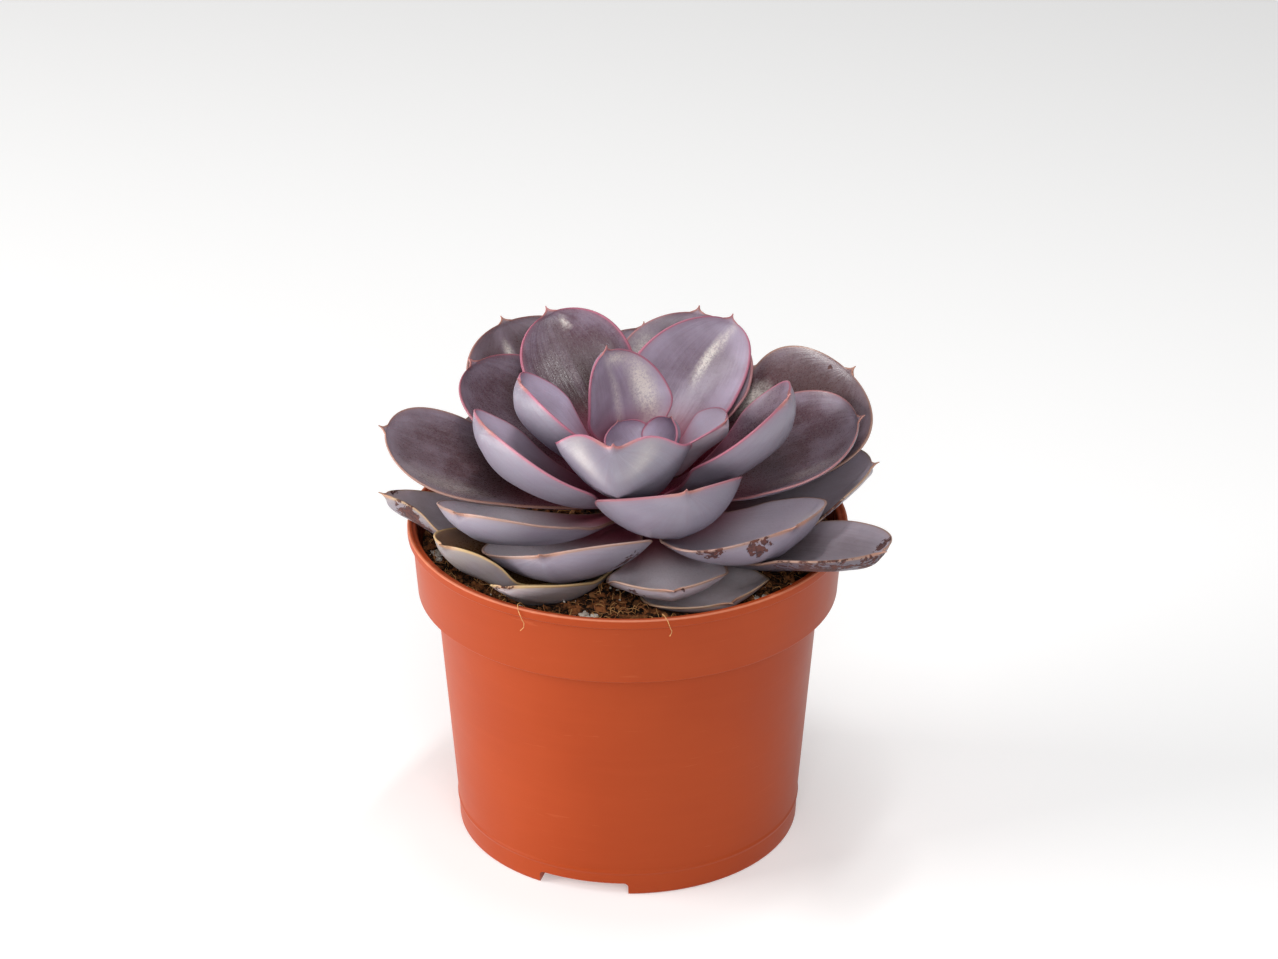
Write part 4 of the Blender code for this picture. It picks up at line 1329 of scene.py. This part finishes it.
def fibre(bm, path, thick, tone):
    """A thin tube along a path of points in millimetres."""
    layer = number_layer(bm, "tone")
    ring = bmesh.ops.create_circle(bm, cap_ends=True, segments=5, radius=thick * MM)["verts"]
    edges = list({e for v in ring for e in v.link_edges})
    way = (path[1] - path[0]).normalized()
    turn = Vector((0, 0, 1)).rotation_difference(way).to_matrix()
    bmesh.ops.rotate(bm, cent=(0, 0, 0), matrix=turn, verts=ring)
    bmesh.ops.translate(bm, vec=path[0] * MM, verts=ring)
    every = list(ring)
    for k in range(1, len(path)):
        made = bmesh.ops.extrude_edge_only(bm, edges=edges)["geom"]
        ring = [g for g in made if isinstance(g, bmesh.types.BMVert)]
        edges = [g for g in made if isinstance(g, bmesh.types.BMEdge) and all(v in ring for v in g.verts)]
        bmesh.ops.translate(bm, vec=(path[k] - path[k - 1]) * MM, verts=ring)
        ahead = (path[min(k + 1, len(path) - 1)] - path[k - 1]).normalized()
        turn = way.rotation_difference(ahead).to_matrix()
        bmesh.ops.rotate(bm, cent=path[k] * MM, matrix=turn, verts=ring)
        way = ahead
        every += ring
    bmesh.ops.contextual_create(bm, geom=edges)
    for vert in every:
        vert[layer] = tone


def lying_fibre(bm):
    """One fibre on the soil, rising a little in its middle."""
    x, y = bare_spot(24.0, 54.5, 1.8)
    heading = dice.uniform(0.0, math.tau)
    step = dice.uniform(1.5, 7.0) / FIBRE_POINTS
    rise = dice.uniform(0.2, 1.6)
    swerve = dice.uniform(-0.6, 0.6)
    path = []
    for k in range(FIBRE_POINTS):
        heading += swerve
        lift = 0.1 + rise * math.sin(math.pi * k / (FIBRE_POINTS - 1))
        if k in (0, FIBRE_POINTS - 1):
            lift -= 0.5
        path.append(Vector((x, y, min(crumbly(x, y) + lift, leaf_above(x, y) - 0.3))))
        x += step * math.cos(heading)
        y += step * math.sin(heading)
        out = math.hypot(x, y)
        if out > SOIL_EDGE:
            x, y = x * SOIL_EDGE / out, y * SOIL_EDGE / out
    fibre(bm, path, dice.uniform(0.05, 0.12), dice.random())


def over_rim(bm, azimuth, sideways, fall, thick, tone):
    """A fibre from the soil over the lip and down the outside of the pot."""
    turn = math.radians(azimuth)
    out = Vector((math.sin(turn), -math.cos(turn), 0.0))
    side = Vector((math.cos(turn), math.sin(turn), 0.0))
    stops = [(52.5, 84.6), (54.6, 88.0), (56.8, 90.6), (58.8, 91.0), (60.3, 90.2), (60.6, 88.2)]
    stops += [(60.5, 88.2 - fall * 0.35), (60.4, 88.2 - fall * 0.7), (60.6, 88.2 - fall)]
    path = []
    for k, (r, z) in enumerate(stops):
        path.append(out * r + side * sideways * math.sin(k * 0.75) + Vector((0, 0, z)))
    fibre(bm, path, thick, tone)


fibre_mesh = strewn(lying_fibre, FIBRE_HANDFULS, FIBRES_IN_HAND)
over_rim(fibre_mesh, -27.6, -1.6, 3.6, 0.09, 0.9)
over_rim(fibre_mesh, 10.2, -0.9, 2.2, 0.1, 0.9)
smooth_by_angle(fibre_mesh, 75)
print("fibre points:", len(fibre_mesh.verts))

# %% [markdown]
# A fibre is too thin for its own pattern to matter much. Its tone number sets it between brown and
# straw, and a fine noise breaks the colour along it.

# %% Mix the fibre finish


def fibre_finish():
    f = Finish("coir")
    colour = f.blend(f.grown("tone"), srgb(142, 78, 34), srgb(228, 174, 108))
    colour = f.blend(f.between(f.noise(900.0, 2.0), 0.4, 0.7, 0.0, 0.5), colour, srgb(92, 52, 28))
    f.shade("Base Color", colour)
    f.shade("Roughness", 0.6)
    f.relief((f.noise(3000.0, 2.0), 0.00005, 0.6))
    return f.material


fibres = finished(fibre_mesh, "coir_fibres", fibre_finish())
print("fibre triangles:", triangles_in(fibres))

# %% [markdown]
# ## The floor
# The plant stands on a plain pale table top, which is not part of it. It is wide enough that its
# edge stays far from the plant in every view. It glows a little, so that it stays pale in shadow.

# %% Lay the floor
FLOOR_SIZE = 6.0

floor_mesh = bmesh.new()
bmesh.ops.create_grid(floor_mesh, x_segments=2, y_segments=2, size=FLOOR_SIZE)
bmesh.ops.translate(floor_mesh, vec=(0, 0, -0.0001), verts=floor_mesh.verts)
floor = placed(floor_mesh, "floor")
pale = Finish("pale_floor")
pale.shade("Base Color", (0.8, 0.8, 0.8, 1.0))
pale.shade("Emission Color", (1.0, 1.0, 1.0, 1.0))
pale.shade("Emission Strength", 0.3)
pale.shade("Roughness", 0.9)
pale.shade("Specular IOR Level", 0.1)
floor.data.materials.append(pale.material)
print("the floor is laid")

# %% [markdown]
# ## Counting the triangles
# The triangles of all the dressed pieces are counted.

# %% Count the triangles
bpy.context.view_layer.update()
print("triangles in all:", sum(triangles_in(piece) for piece in pieces))
